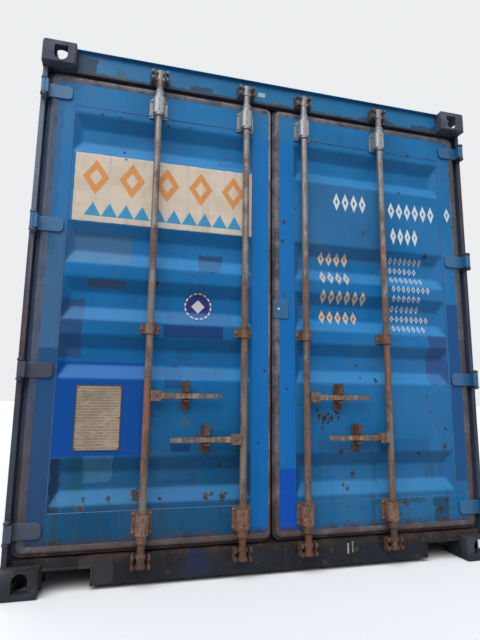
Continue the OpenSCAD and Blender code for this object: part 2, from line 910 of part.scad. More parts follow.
module hinge_blades() {
    for (z = hinges) translate([0, 0, door_mid + z]) hinge_blade();
}

// Plate and collar that hold a bar, at the bar's axis
// nose is how far the collar runs past the plate, towards up, and face is what the plate sits on
module bar_guide(h, nose, face, up) {
    half = h / 2;
    shoulder = half + nose / 2;
    side = guide_w / 2;
    side_top = half - nose / 3;
    mirror([0, 0, up < 0 ? 1 : 0]) difference() {
        union() {
            translate([0, face, 0]) rotate([90, 0, 0]) linear_extrude(guide_t)
                polygon([
                    [-side, -half], [side, -half], [side, side_top], [collar_r, shoulder],
                    [-collar_r, shoulder], [-side, side_top]
                ]);
            translate([0, 0, -half]) cylinder(r = collar_r, h = h + nose, $fn = round_fn);
            for (z = [-half - ring_h / 2, half + nose - ring_h])
                translate([0, 0, z]) cylinder(r = collar_r + ring_out, h = ring_h, $fn = round_fn);
            box(-collar_r, collar_r, 0, face - guide_t, -half, shoulder);
        }
        cylinder(r = bar_r + pin_gap, h = 2 * (h + nose), center = true, $fn = round_fn);
    }
}

module bar_guides() {
    for (x = [bar_inner, bar_outer], g = guides)
        translate([x, bar_depth, g[0]]) bar_guide(g[1], g[2], g[3] - bar_depth, g[4]);
}

// Bracket behind a handle, at the handle's height: base, block, seat below and catch rivet above
module retainer() {
    half = retainer_w / 3;
    z0 = seat_z - seat_t;
    head_y = handle_depth - lift_gap - catch_t;
    translate([0, panel_face, 0]) rotate([90, 0, 0])
        linear_extrude(retainer_t) stadium(retainer_w, retainer_h);
    box(-half, half, retainer_front, panel_face - retainer_t + over, z0, catch_up + rivet_r + 4);
    box(-half, half, handle_depth, retainer_front + over, z0, seat_z);
    translate([0, retainer_front + over, catch_up]) rotate([90, 0, 0])
        cylinder(r = rivet_r, h = retainer_front + over - head_y, $fn = round_fn);
}

module handle_retainers(outer_z, inner_z) {
    translate([bar_outer - retainer_out, 0, outer_z]) retainer();
    translate([bar_inner + retainer_out, 0, inner_z]) retainer();
}

// Locking gear: each bar at its axis, with its handle towards +x, or towards -x where dir is -1

module turned(dir) {
    mirror([dir < 0 ? 1 : 0, 0, 0]) children();
}

// Two lobes at an end of a bar
module cam(z0, z1) {
    lobe_y = bar_r - 3;
    for (z = [z0, z1 - lobe_h]) intersection() {
        translate([0, 0, z]) cylinder(r = cam_r, h = lobe_h, $fn = round_fn);
        box(-cam_r, cam_r, -lobe_y, lobe_y, z, z + lobe_h);
    }
    translate([0, 0, z0]) cylinder(r = bar_r + 2, h = z1 - z0, $fn = round_fn);
}

module lock_bar(dir, handle_z) {
    bar_end = 2;
    difference() {
        union() {
            translate([0, 0, bar_z0]) cylinder(r = bar_r, h = bar_z1 - bar_z0, $fn = round_fn);
            cam(bar_z0 + bar_end, sill_z - over);
            cam(header_z + keeper_up, bar_z1 - bar_end);
        }
        translate([0, 0, bar_z0 + bar_plug])
            cylinder(r = bar_r - bar_wall, h = bar_z1 - bar_z0 - 2 * bar_plug, $fn = round_fn);
    }
    // Hub: a plate behind the handle and one in front, a web beside the bar, and the rivet through them
    front0 = handle_depth - hub_gap - hub_t - bar_depth;
    back0 = handle_depth + handle_t + hub_gap - bar_depth;
    back1 = back0 + 2 * hub_t;
    start = bar_r - bar_wall / 2;
    z0 = handle_z - hub_h / 2;
    turned(dir) {
        box(start, rivet_out + hub_h / 2, front0, front0 + hub_t, z0, z0 + hub_h);
        box(start, rivet_out + hub_h / 2, back0, back1, z0, z0 + hub_h);
        box(start, rivet_out - handle_eye - hub_gap, front0, back1, z0, z0 + hub_h);
        translate([rivet_out, back0 + over, handle_z]) rotate([90, 0, 0])
            cylinder(r = rivet_r, h = back0 - front0, $fn = round_fn);
    }
}

// Flat tapering handle on its rivet, at the bar's axis
module handle(dir) {
    y1 = handle_depth + handle_t - bar_depth;
    tip = handle_tip;
    end = handle_l - tip / 2;
    turned(dir) translate([0, y1, 0]) rotate([90, 0, 0]) linear_extrude(handle_t) difference() {
        union() {
            translate([rivet_out, 0]) circle(handle_eye, $fn = round_fn);
            polygon([[rivet_out, -handle_h / 2], [end, -tip / 2], [end, tip / 2], [rivet_out, handle_h / 2]]);
            translate([end, 0]) circle(d = tip, $fn = round_fn);
        }
        translate([rivet_out, 0]) circle(rivet_r + pin_gap, $fn = round_fn);
    }
}

// Tongue that hangs from a retainer's rivet, in front of the handle's plane
module catch_tongue() {
    y1 = handle_depth - lift_gap;
    drop = catch_up + seat_z;
    translate([0, y1, catch_up]) rotate([90, 0, 0]) linear_extrude(catch_t) difference() {
        union() {
            circle(catch_w / 2 + 2, $fn = round_fn);
            rect(-catch_w / 2, catch_w / 2, -drop, 0);
        }
        circle(rivet_r + pin_gap, $fn = round_fn);
    }
}

// Bars and what they carry

module left_outer_bar() {
    color([0.6, 0.5, 0.42]) door_end() translate([-bar_outer, bar_depth, 0]) lock_bar(1, handle_high);
}
module left_inner_bar() {
    color([0.6, 0.5, 0.42]) door_end() translate([-bar_inner, bar_depth, 0]) lock_bar(-1, handle_low);
}
module right_inner_bar() {
    color([0.6, 0.5, 0.42]) door_end() translate([bar_inner, bar_depth, 0]) lock_bar(1, handle_high);
}
module right_outer_bar() {
    color([0.6, 0.5, 0.42]) door_end() translate([bar_outer, bar_depth, 0]) lock_bar(-1, handle_low);
}

module left_outer_handle() {
    color([0.58, 0.45, 0.34]) door_end() translate([-bar_outer, bar_depth, handle_high]) handle(1);
}
module left_inner_handle() {
    color([0.58, 0.45, 0.34]) door_end() translate([-bar_inner, bar_depth, handle_low]) handle(-1);
}
module right_inner_handle() {
    color([0.58, 0.45, 0.34]) door_end() translate([bar_inner, bar_depth, handle_high]) handle(1);
}
module right_outer_handle() {
    color([0.58, 0.45, 0.34]) door_end() translate([bar_outer, bar_depth, handle_low]) handle(-1);
}

module left_outer_catch() {
    color([0.5, 0.4, 0.32]) door_end() translate([-bar_outer + retainer_out, 0, handle_high]) catch_tongue();
}
module left_inner_catch() {
    color([0.5, 0.4, 0.32]) door_end() translate([-bar_inner - retainer_out, 0, handle_low]) catch_tongue();
}
module right_inner_catch() {
    color([0.5, 0.4, 0.32]) door_end() translate([bar_inner + retainer_out, 0, handle_high]) catch_tongue();
}
module right_outer_catch() {
    color([0.5, 0.4, 0.32]) door_end() translate([bar_outer - retainer_out, 0, handle_low]) catch_tongue();
}

module right_door_frame() {
    color([0.14, 0.43, 0.66]) door_end() door_frame();
}
module right_door_panel() {
    color([0.16, 0.46, 0.7]) door_end() door_panel();
}
module right_door_gasket() {
    color([0.35, 0.31, 0.31]) door_end() door_gasket(-centre_lap);
}
module right_hinge_blades() {
    color([0.14, 0.36, 0.58]) door_end() hinge_blades();
}
module right_bar_guides() {
    color([0.55, 0.5, 0.46]) door_end() bar_guides();
}
module right_handle_retainers() {
    color([0.5, 0.4, 0.32]) door_end() handle_retainers(handle_low, handle_high);
}

module left_door_frame() {
    color([0.14, 0.43, 0.66]) mirror([1, 0, 0]) door_end() door_frame();
}
module left_door_panel() {
    color([0.16, 0.46, 0.7]) mirror([1, 0, 0]) door_end() door_panel();
}
module left_door_gasket() {
    color([0.35, 0.31, 0.31]) mirror([1, 0, 0]) door_end() door_gasket(centre_lap + centre_gap);
}
module left_hinge_blades() {
    color([0.14, 0.36, 0.58]) mirror([1, 0, 0]) door_end() hinge_blades();
}
module left_bar_guides() {
    color([0.55, 0.5, 0.46]) mirror([1, 0, 0]) door_end() bar_guides();
}
module left_handle_retainers() {
    color([0.5, 0.4, 0.32]) mirror([1, 0, 0]) door_end() handle_retainers(handle_high, handle_low);
}

// Data plate on the left door, between two corrugations
module data_plate() {
    x1 = -panel_x1 + data_side + data_w;
    z = door_mid - (pan_near + pan_far) / 2;
    color([0.68, 0.64, 0.56]) door_end()
        box(x1 - data_w, x1, panel_face - data_t, panel_face, z - data_h / 2, z + data_h / 2);
}

// Plate on the right door that covers the joint between the doors
module overlap_plate() {
    color([0.14, 0.36, 0.58]) door_end()
        translate([-centre_lap, door_depth, door_mid - overlap_h / 2]) rotate([90, 0, 0])
            linear_extrude(overlap_t) rounded(overlap_w, overlap_h, overlap_edge);
}

top_corner_castings();
bottom_corner_castings();
left_door_post();
right_door_post();
front_posts();
door_header();
rain_gutter();
door_sill();
front_header();
front_sill();
top_side_rails();
left_bottom_rail();
right_bottom_rail();
cross_members();
fork_pockets();
floor();
left_side_wall();
right_side_wall();
front_wall();
roof();
roof_corner_plates();
vents();
hinge_lugs();
cam_keepers();
left_door_frame();
left_door_panel();
left_door_gasket();
left_hinge_blades();
left_bar_guides();
left_handle_retainers();
right_door_frame();
right_door_panel();
right_door_gasket();
right_hinge_blades();
right_bar_guides();
right_handle_retainers();
left_outer_bar();
left_inner_bar();
right_inner_bar();
right_outer_bar();
left_outer_handle();
left_inner_handle();
right_inner_handle();
right_outer_handle();
left_outer_catch();
left_inner_catch();
right_inner_catch();
right_outer_catch();
data_plate();
overlap_plate();
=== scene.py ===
import functools
import json
import math

import bmesh
import bpy
from mathutils import Euler, Matrix, Vector


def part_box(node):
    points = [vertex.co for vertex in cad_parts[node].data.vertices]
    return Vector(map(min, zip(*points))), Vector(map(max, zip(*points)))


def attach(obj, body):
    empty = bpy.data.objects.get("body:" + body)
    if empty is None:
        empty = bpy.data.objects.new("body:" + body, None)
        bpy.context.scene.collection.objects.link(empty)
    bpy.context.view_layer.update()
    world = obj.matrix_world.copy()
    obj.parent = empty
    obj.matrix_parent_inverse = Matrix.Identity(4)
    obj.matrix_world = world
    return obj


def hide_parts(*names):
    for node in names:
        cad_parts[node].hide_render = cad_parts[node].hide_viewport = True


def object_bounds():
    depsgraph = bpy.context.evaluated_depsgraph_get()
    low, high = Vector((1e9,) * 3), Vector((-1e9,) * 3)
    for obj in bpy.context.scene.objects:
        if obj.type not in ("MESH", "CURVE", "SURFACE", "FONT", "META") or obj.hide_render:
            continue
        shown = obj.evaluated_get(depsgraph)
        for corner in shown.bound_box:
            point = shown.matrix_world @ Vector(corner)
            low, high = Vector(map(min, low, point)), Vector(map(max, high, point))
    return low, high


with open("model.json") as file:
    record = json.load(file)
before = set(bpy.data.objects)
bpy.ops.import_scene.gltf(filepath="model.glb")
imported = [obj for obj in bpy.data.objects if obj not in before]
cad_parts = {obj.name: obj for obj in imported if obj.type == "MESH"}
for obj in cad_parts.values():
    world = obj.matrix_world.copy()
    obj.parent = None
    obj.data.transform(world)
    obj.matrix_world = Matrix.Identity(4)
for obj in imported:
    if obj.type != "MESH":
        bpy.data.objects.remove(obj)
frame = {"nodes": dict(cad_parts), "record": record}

record = frame["record"]
cadNodes = frame["nodes"]
bodyOf = {node: body for body, members in record["behaviour"]["bodies"].items() for node in members}
slotOf = {part["node"]: part["material_slot"] for part in record["subparts"]}
cadLow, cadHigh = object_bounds()
scene = bpy.context.scene
print("frame loaded:", len(cadNodes), "nodes")

# small helpers

socketKind = bpy.types.NodeSocket


def paint(red, green, blue):  # a colour as a paint chart gives it, 0 to 255
    chart = [value / 255 for value in (red, green, blue)]
    return (*[c / 12.92 if c < 0.0405 else ((c + 0.055) / 1.055) ** 2.4 for c in chart], 1.0)


def camel(name):
    first, *rest = name.split("_")
    return first + "".join(word.capitalize() for word in rest)


def addNode(tree, kind, inputs=None, **settings):
    node = tree.nodes.new(kind)
    for name, value in settings.items():
        setattr(node, name, value)
    for key, value in (inputs or {}).items():
        if isinstance(value, socketKind):
            tree.links.new(value, node.inputs[key])
        elif value is not None:
            node.inputs[key].default_value = value
    return node


def feed(kind, inputs, **settings):  # a node beside the sockets that feed it
    tree = next(value.id_data for value in inputs.values() if isinstance(value, socketKind))
    return addNode(tree, kind, inputs, **settings)


def maths(operation, *values):
    return feed("ShaderNodeMath", dict(enumerate(values)), operation=operation).outputs[0]


# Sockets are added, taken away, multiplied and divided as numbers are, each time with a Math node
socketKind.__add__ = lambda first, second: maths("ADD", first, second)
socketKind.__radd__ = lambda second, first: maths("ADD", first, second)
socketKind.__sub__ = lambda first, second: maths("SUBTRACT", first, second)
socketKind.__rsub__ = lambda second, first: maths("SUBTRACT", first, second)
socketKind.__mul__ = lambda first, second: maths("MULTIPLY", first, second)
socketKind.__rmul__ = lambda second, first: maths("MULTIPLY", first, second)
socketKind.__truediv__ = lambda first, second: maths("DIVIDE", first, second)
socketKind.__abs__ = lambda value: maths("ABSOLUTE", value)


def lesser(first, second):
    return maths("MINIMUM", first, second)


def greater(first, second):
    return maths("MAXIMUM", first, second)


def clamped(value):  # keeps a sum between 0 and 1
    value.node.use_clamp = True
    return value


def stepUp(value, low, high):  # 0 below low, 1 above high, and the other way round if low is the larger
    inputs = {"Value": value, "From Min": low, "From Max": high}
    return feed("ShaderNodeMapRange", inputs, interpolation_type="SMOOTHSTEP").outputs["Result"]


def mixColour(factor, first, second, blend="MIX"):
    inputs = {0: factor, 6: first, 7: second}
    return feed("ShaderNodeMix", inputs, data_type="RGBA", blend_type=blend).outputs[2]


def noise(vector, scale, detail=3.0, roughness=0.55, distortion=0.0):
    inputs = {"Vector": vector, "Scale": scale, "Detail": detail, "Roughness": roughness,
              "Distortion": distortion}
    return feed("ShaderNodeTexNoise", inputs).outputs["Fac"]


def cells(vector, scale, feature="F1"):
    return feed("ShaderNodeTexVoronoi", {"Vector": vector, "Scale": scale}, feature=feature).outputs


def shifted(operation, vector, by):
    return feed("ShaderNodeVectorMath", {0: vector, 1: by}, operation=operation).outputs


def stretched(vector, x, y, z):
    return shifted("MULTIPLY", vector, (x, y, z))[0]


def axes(vector):
    return feed("ShaderNodeSeparateXYZ", {0: vector}).outputs


def joined(x, y, z):
    return feed("ShaderNodeCombineXYZ", {0: x, 1: y, 2: z}).outputs[0]


def newGroup(name, inputs, outputs=("Mask",), kind="ShaderNodeTree"):
    tree = bpy.data.node_groups.new(name, kind)
    special = {"Geometry": "NodeSocketGeometry", "Finish": "NodeSocketMaterial", "Color": "NodeSocketColor"}
    kinds = {float: "NodeSocketFloat", int: "NodeSocketInt", tuple: "NodeSocketVector",
             list: "NodeSocketColor"}
    for label, value in inputs.items():
        socketType = special[label] if value is None else kinds[type(value)]
        socket = tree.interface.new_socket(label, in_out="INPUT", socket_type=socketType)
        if value is not None:
            socket.default_value = value
    for label in outputs:
        tree.interface.new_socket(label, in_out="OUTPUT", socket_type=special.get(label, kinds[float]))
    return tree.nodes.new("NodeGroupInput").outputs, tree.nodes.new("NodeGroupOutput").inputs


def closeGroup(out, **results):
    for label, socket in results.items():
        tree = socket.id_data
        tree.links.new(socket, out[label])
    return tree


def source(given, kind):  # a node that takes nothing in
    return addNode(given[0].id_data, kind).outputs


# shared shader effects

origin = (0.0, 0.0, 0.0)


def useGroup(group, **inputs):
    return feed("ShaderNodeGroup", inputs, node_tree=group).outputs


def makePatchMask():  # 1 inside a rectangle seen from the front, with ragged edges
    inputs = {"Vector": origin, "Left": 0.0, "Right": 1.0, "Bottom": 0.0, "Top": 1.0, "Ragged": 0.004,
              "Soft": 0.004}
    given, out = newGroup("paintPatch", inputs)
    x, _, z = axes(given["Vector"])
    across = lesser(x - given["Left"], given["Right"] - x)
    upward = lesser(z - given["Bottom"], given["Top"] - z)
    wobble = noise(given["Vector"], 22.0, 4.0) - 0.5
    inside = lesser(across, upward) + wobble * given["Ragged"]
    return closeGroup(out, Mask=clamped(inside / given["Soft"] + 0.5))


def makeSpotMask():  # flecks that crowd round a place and thin out round it, drawn out below into a run
    given, out = newGroup("rustSpot", {"Vector": origin, "X": 0.0, "Z": 0.0, "Radius": 0.01, "Run": 1.0})
    x, _, z = axes(given["Vector"])
    dx, dz = x - given["X"], z - given["Z"]
    dz = greater(dz, 0.0) + lesser(dz, 0.0) / given["Run"]
    near = 1.25 - maths("SQRT", dx * dx + dz * dz) / given["Radius"]
    flecks = noise(given["Vector"], 110.0, 4.0, 0.7)
    return closeGroup(out, Mask=stepUp(near * 0.42 + flecks * 1.5, 0.92, 1.04))


def makeSpeckle():  # scattered small spots, each with its own size, and a stain round them
    inputs = {"Vector": origin, "Scale": 9.0, "Amount": 0.3, "Size": 0.12}
    given, out = newGroup("speckle", inputs, ("Mask", "Stain"))
    inputs = {"Vector": given["Vector"], "Scale": 45.0, "Detail": 4.0}
    shake = feed("ShaderNodeTexNoise", inputs).outputs["Color"]
    shake = shifted("SUBTRACT", shake, (0.5, 0.5, 0.5))[0]
    shake = feed("ShaderNodeVectorMath", {0: shake, "Scale": 0.028}, operation="SCALE").outputs[0]
    spots = cells(shifted("ADD", given["Vector"], shake)[0], given["Scale"])
    draw, other, _ = axes(spots["Color"])
    here = maths("LESS_THAN", draw, given["Amount"])
    size = given["Size"] * (0.35 + other)
    spot = stepUp(spots["Distance"], size, size * 0.6)
    stain = stepUp(spots["Distance"], size * 2.6, size)
    return closeGroup(out, Mask=spot * here, Stain=stain * here)


def makeRust():  # the colour and the height of rusted steel
    inputs = {"Vector": origin, "Light": list(paint(98, 62, 44)), "Dark": list(paint(46, 36, 30))}
    given, out = newGroup("rustColour", inputs, ("Color", "Height"))
    grain = noise(given["Vector"], 95.0, 6.0, 0.7)
    both = grain * 0.6 + noise(given["Vector"], 17.0, 4.0, 0.6) * 0.4
    colour = mixColour(stepUp(both, 0.38, 0.62), given["Dark"], given["Light"])
    return closeGroup(out, Color=colour, Height=grain)


def makeEdgeWear():  # 1 along edges, broken up
    given, out = newGroup("edgeWear", {"Vector": origin, "Width": 0.006, "Amount": 0.5})
    rounded = feed("ShaderNodeBevel", {"Radius": given["Width"]}, samples=4).outputs[0]
    same = shifted("DOT_PRODUCT", rounded, source(given, "ShaderNodeNewGeometry")["Normal"])["Value"]
    broken = stepUp(noise(given["Vector"], 34.0, 5.0, 0.65), 1.0 - given["Amount"], 0.75)
    return closeGroup(out, Mask=stepUp(same, 0.99, 0.86) * broken)


def makeWeather():  # paint with fading, runs of dirt, rust spots and a fine skin
    inputs = {"Vector": origin, "Paint": list(paint(60, 120, 180)), "Fade": 0.3, "Dirt": 0.3, "Rust": 0.2}
    given, out = newGroup("weatheredPaint", inputs, ("Color", "Roughness", "Height"))
    vector = given["Vector"]
    cloud = noise(vector, 1.9, 4.0, 0.6)
    chalk = stepUp(cloud, 0.42, 0.72) * given["Fade"]
    colour = mixColour(chalk * 0.5, given["Paint"], paint(110, 142, 168))
    deep = stepUp(cloud, 0.5, 0.25) * given["Fade"]
    colour = mixColour(deep, colour, paint(28, 48, 78), "MULTIPLY")
    runs = stepUp(noise(stretched(vector, 34.0, 34.0, 1.1), 1.0, 4.0, 0.6), 0.5, 0.78) * given["Dirt"]
    colour = mixColour(runs * 0.55, colour, paint(74, 72, 76))
    grime = stepUp(noise(vector, 7.0, 6.0, 0.65), 0.5, 0.74) * given["Dirt"]
    colour = mixColour(grime * 0.5, colour, paint(62, 64, 72))
    coarse = useGroup(speckleGroup, Vector=vector, Scale=6.5, Amount=given["Rust"] * 0.5, Size=0.07)
    fine = useGroup(speckleGroup, Vector=vector, Scale=23.0, Amount=given["Rust"] * 0.36, Size=0.15)
    colour = mixColour(greater(coarse["Stain"], fine["Stain"] * 0.6) * 0.4, colour, paint(88, 92, 74))
    rust = useGroup(rustGroup, Vector=vector)
    spot = greater(coarse["Mask"], fine["Mask"])
    height = noise(vector, 260.0, 2.0) * 0.14 + noise(vector, 11.0, 2.0) * 0.5 + spot * rust["Height"]
    return closeGroup(out, Color=mixColour(spot, colour, rust["Color"]), Height=height,
                      Roughness=clamped(grime * 0.25 + spot * 0.4 + 0.42))


def makeMarkBlock():  # rows of hollow lozenges painted through a stencil, some rows shorter than others
    given, out = newGroup("markBlock", {
        "Vector": origin, "Left": 0.0, "Right": 1.0, "Bottom": 0.0, "Top": 1.0, "Rows": 1.0, "Count": 4.0,
        "Stroke": 0.01, "Fill": 0.8, "Row Fill": 1.0, "Uneven": 0.0})
    x, _, z = axes(given["Vector"])
    rowHeight = (given["Top"] - given["Bottom"]) / given["Rows"]
    rowPlace = (z - given["Bottom"]) / rowHeight
    cell = (given["Right"] - given["Left"]) / given["Count"]
    along = (x - given["Left"]) / cell
    row = {"W": maths("FLOOR", rowPlace)}
    draw = feed("ShaderNodeTexWhiteNoise", row, noise_dimensions="1D").outputs["Value"]
    rowEnd = given["Count"] - maths("FLOOR", draw * given["Uneven"] * given["Count"])
    halfWide = cell * given["Fill"] * 0.5
    halfTall = rowHeight * given["Row Fill"] * 0.5
    dx = abs((maths("FRACT", along) - 0.5) * cell)
    dz = abs((maths("FRACT", rowPlace) - 0.5) * rowHeight)
    reach = dx / halfWide + dz / halfTall
    hollow = 1.0 - given["Stroke"] * 1.3 / halfWide
    outline = stepUp(reach, 1.04, 0.98) - stepUp(reach, hollow + 0.03, hollow - 0.03)
    inside = maths("GREATER_THAN", along, 0.0) * maths("LESS_THAN", along, rowEnd)
    inRows = maths("GREATER_THAN", rowPlace, 0.0) * maths("LESS_THAN", rowPlace, given["Rows"])
    left = stepUp(noise(given["Vector"], 55.0, 5.0, 0.7), 0.3, 0.42)
    return closeGroup(out, Mask=outline * inside * (inRows * left))


patchGroup = makePatchMask()
spotGroup = makeSpotMask()
speckleGroup = makeSpeckle()
rustGroup = makeRust()
edgeGroup = makeEdgeWear()
weatherGroup = makeWeather()
markGroup = makeMarkBlock()


def patch(vector, left, right, bottom, top, ragged=0.004, soft=0.004):
    return useGroup(patchGroup, Vector=vector, Left=left, Right=right, Bottom=bottom, Top=top, Ragged=ragged,
                    Soft=soft)["Mask"]


def worn(vector, width, amount):
    return useGroup(edgeGroup, Vector=vector, Width=width, Amount=amount)["Mask"]


def rusted(vector, light=(98, 62, 44), dark=(46, 36, 30)):
    return useGroup(rustGroup, Vector=vector, Light=paint(*light), Dark=paint(*dark))


def weathered(vector, base, fade, dirt, rust):
    return useGroup(weatherGroup, Vector=vector, Paint=base, Fade=fade, Dirt=dirt, Rust=rust)


# finishes


def newFinish(name):
    material = bpy.data.materials.new(name)
    material.use_nodes = True
    tree = material.node_tree
    tree.nodes.clear()
    shader = addNode(tree, "ShaderNodeBsdfPrincipled")
    addNode(tree, "ShaderNodeOutputMaterial", {"Surface": shader.outputs[0]})
    return material, addNode(tree, "ShaderNodeTexCoord").outputs["Object"]


def finished(material, colour, rough, height=None, lift=0.002, strength=0.7, metal=None, gloss=None):
    tree = material.node_tree
    shader = tree.nodes["Principled BSDF"]
    if height is not None:
        bump = addNode(tree, "ShaderNodeBump", {"Height": height, "Distance": lift, "Strength": strength})
        tree.links.new(bump.outputs[0], shader.inputs["Normal"])
    values = {"Base Color": colour, "Roughness": rough, "Metallic": metal, "Specular IOR Level": gloss}
    for name, value in values.items():
        if isinstance(value, socketKind):
            tree.links.new(value, shader.inputs[name])
        elif value is not None:
            shader.inputs[name].default_value = value
    return material


# Paints that the doors were touched up with, and stains
touchUps = {
    "fresh": paint(0, 78, 176), "repaint": paint(0, 70, 148), "bright": paint(8, 108, 184),
    "haze": paint(66, 100, 134), "dull": paint(46, 92, 134), "steel": paint(40, 76, 126),
    "deep": paint(24, 72, 124), "dusk": paint(38, 64, 106), "violet": paint(48, 72, 124),
    "navy": paint(16, 50, 104), "slate": paint(56, 68, 92), "ink": paint(24, 42, 74),
    "pale": paint(70, 124, 150), "moss": paint(30, 74, 72), "pine": paint(26, 60, 80),
    "black": paint(34, 40, 50), "char": paint(62, 64, 66), "chalk": paint(186, 182, 176),
    "label": paint(176, 190, 184), "bronze": paint(60, 84, 84),
}
# Patches: left, right, bottom and top in metres on the door end, paint, how much it covers, and how ragged
# its edge is. Rust: place across and up, radius, and how far it runs down
leftDoorPaint = {
    "low": paint(0, 70, 106), "spots": 0.2,
    "patches": [
        (-0.12, -0.02, 0.18, 2.25, "bright", 0.75, 0.01),
        (-1.04, -0.74, 1.48, 1.64, "haze", 0.8, 0.03),
        (-1.04, -0.74, 1.48, 1.53, "haze", 0.6, 0.02),
        (-0.94, -0.76, 1.36, 1.40, "slate", 0.85, 0.02),
        (-0.40, -0.28, 1.47, 1.57, "dusk", 0.85, 0.06),
        (-0.31, -0.18, 2.07, 2.10, "deep", 0.8, 0.04),
        (-1.06, -0.95, 1.02, 1.30, "dusk", 0.8, 0.04),
        (-0.57, -0.27, 1.13, 1.19, "navy", 0.9, 0.01),
        (-0.56, -0.22, 1.20, 1.26, "steel", 0.8, 0.03),
        (-0.61, -0.26, 0.93, 0.98, "steel", 0.75, 0.04),
        (-0.56, -0.47, 0.88, 0.99, "deep", 0.8, 0.05),
        (-0.52, -0.33, 0.99, 1.01, "steel", 0.7, 0.04),
        (-0.50, -0.42, 1.02, 1.08, "deep", 0.6, 0.06),
        (-0.91, -0.78, 0.45, 0.59, "pale", 0.5, 0.06),
        (-0.61, -0.35, 0.34, 0.42, "deep", 0.7, 0.03),
        (-0.52, -0.42, 0.58, 0.62, "navy", 0.8, 0.02),
        (-0.54, -0.40, 0.43, 0.45, "deep", 0.8, 0.03),
        (-0.96, -0.91, 0.35, 0.57, "moss", 0.5, 0.05),
        (-0.27, -0.21, 0.51, 0.52, "bronze", 0.8, 0.02),
        (-1.16, -1.05, 0.15, 1.06, "dusk", 0.75, 0.06),
        (-1.16, -1.05, 1.06, 1.64, "haze", 0.8, 0.05),
        (-1.16, -1.10, 1.50, 2.46, "dull", 0.6, 0.05),
        (-1.05, -1.01, 0.33, 0.56, "ink", 0.8, 0.05),
        (-1.05, -0.64, 0.57, 1.00, "repaint", 1.0, 0.002),
    ],
    "rust": [
        (-0.67, 0.39, 0.034, 1.1), (-0.34, 0.37, 0.020, 1.3), (-0.31, 0.38, 0.012, 1.0),
        (-0.26, 0.37, 0.020, 1.2), (-0.24, 0.38, 0.010, 1.0), (-0.27, 0.51, 0.014, 0.7),
        (-0.30, 0.51, 0.010, 0.7), (-0.35, 0.52, 0.010, 1.0), (-0.90, 0.38, 0.010, 2.0),
        (-0.79, 0.38, 0.011, 3.0), (-0.56, 0.37, 0.010, 1.5), (-0.79, 2.03, 0.007, 1.0),
        (-1.11, 2.16, 0.006, 1.0), (-0.40, 1.22, 0.005, 1.0), (-0.92, 2.26, 0.009, 1.4),
        (-0.83, 2.26, 0.008, 1.4), (-0.58, 2.25, 0.008, 1.2), (-0.47, 2.26, 0.010, 1.1),
        (-0.05, 0.98, 0.007, 1.6), (-0.08, 0.62, 0.007, 2.0), (-0.80, 2.08, 0.009, 1.4),
    ],
}
rightDoorPaint = {
    "low": paint(4, 94, 144), "spots": 0.5,
    "patches": [
        (0.02, 0.12, 0.18, 2.25, "bright", 0.7, 0.01),
        (0.20, 0.64, 1.60, 2.06, "haze", 0.3, 0.06),
        (1.06, 1.15, 0.40, 1.39, "deep", 0.85, 0.01),
        (0.93, 1.05, 0.92, 1.20, "violet", 0.8, 0.06),
        (0.91, 1.00, 0.20, 0.32, "pine", 0.75, 0.06),
        (0.56, 0.86, 0.30, 0.32, "moss", 0.6, 0.03),
        (0.24, 0.90, 0.56, 0.63, "deep", 0.35, 0.05),
        (0.02, 0.13, 0.19, 0.49, "fresh", 1.0, 0.002),
    ],
    "rust": [
        (0.25, 0.75, 0.014, 1.8), (0.28, 0.74, 0.018, 1.3), (0.30, 0.76, 0.013, 1.2),
        (0.32, 0.74, 0.018, 1.5), (0.35, 0.77, 0.014, 1.2), (0.36, 0.74, 0.011, 1.4),
        (0.27, 0.69, 0.007, 3.5), (0.24, 0.78, 0.010, 1.4), (0.30, 0.72, 0.008, 2.0),
        (0.49, 1.02, 0.011, 1.0), (0.59, 0.94, 0.014, 1.3), (0.50, 0.95, 0.010, 1.0),
        (0.60, 1.01, 0.006, 1.0), (0.84, 0.55, 0.016, 0.8), (0.37, 0.57, 0.017, 1.0),
        (0.41, 0.58, 0.010, 1.2), (0.45, 0.45, 0.015, 1.4), (0.41, 0.38, 0.014, 0.8),
        (0.39, 0.40, 0.009, 1.6), (1.01, 0.68, 0.010, 1.5), (1.00, 0.59, 0.015, 1.9),
        (0.78, 2.05, 0.013, 1.3), (0.54, 1.78, 0.010, 2.4), (0.06, 1.79, 0.010, 1.6),
        (0.05, 1.68, 0.010, 1.7), (0.85, 2.29, 0.015, 1.0), (0.94, 1.67, 0.018, 1.2),
        (0.74, 0.30, 0.020, 1.3), (0.95, 0.26, 0.020, 1.5), (0.99, 0.30, 0.012, 1.0),
        (0.07, 0.89, 0.009, 1.5), (0.06, 1.38, 0.007, 1.6), (0.70, 0.24, 0.012, 1.2),
        (0.48, 0.29, 0.008, 1.5), (0.42, 2.29, 0.009, 1.0), (0.64, 2.30, 0.010, 1.0),
        (0.99, 2.29, 0.010, 1.2), (0.90, 0.85, 0.008, 1.2), (0.69, 0.52, 0.007, 1.4),
    ],
}
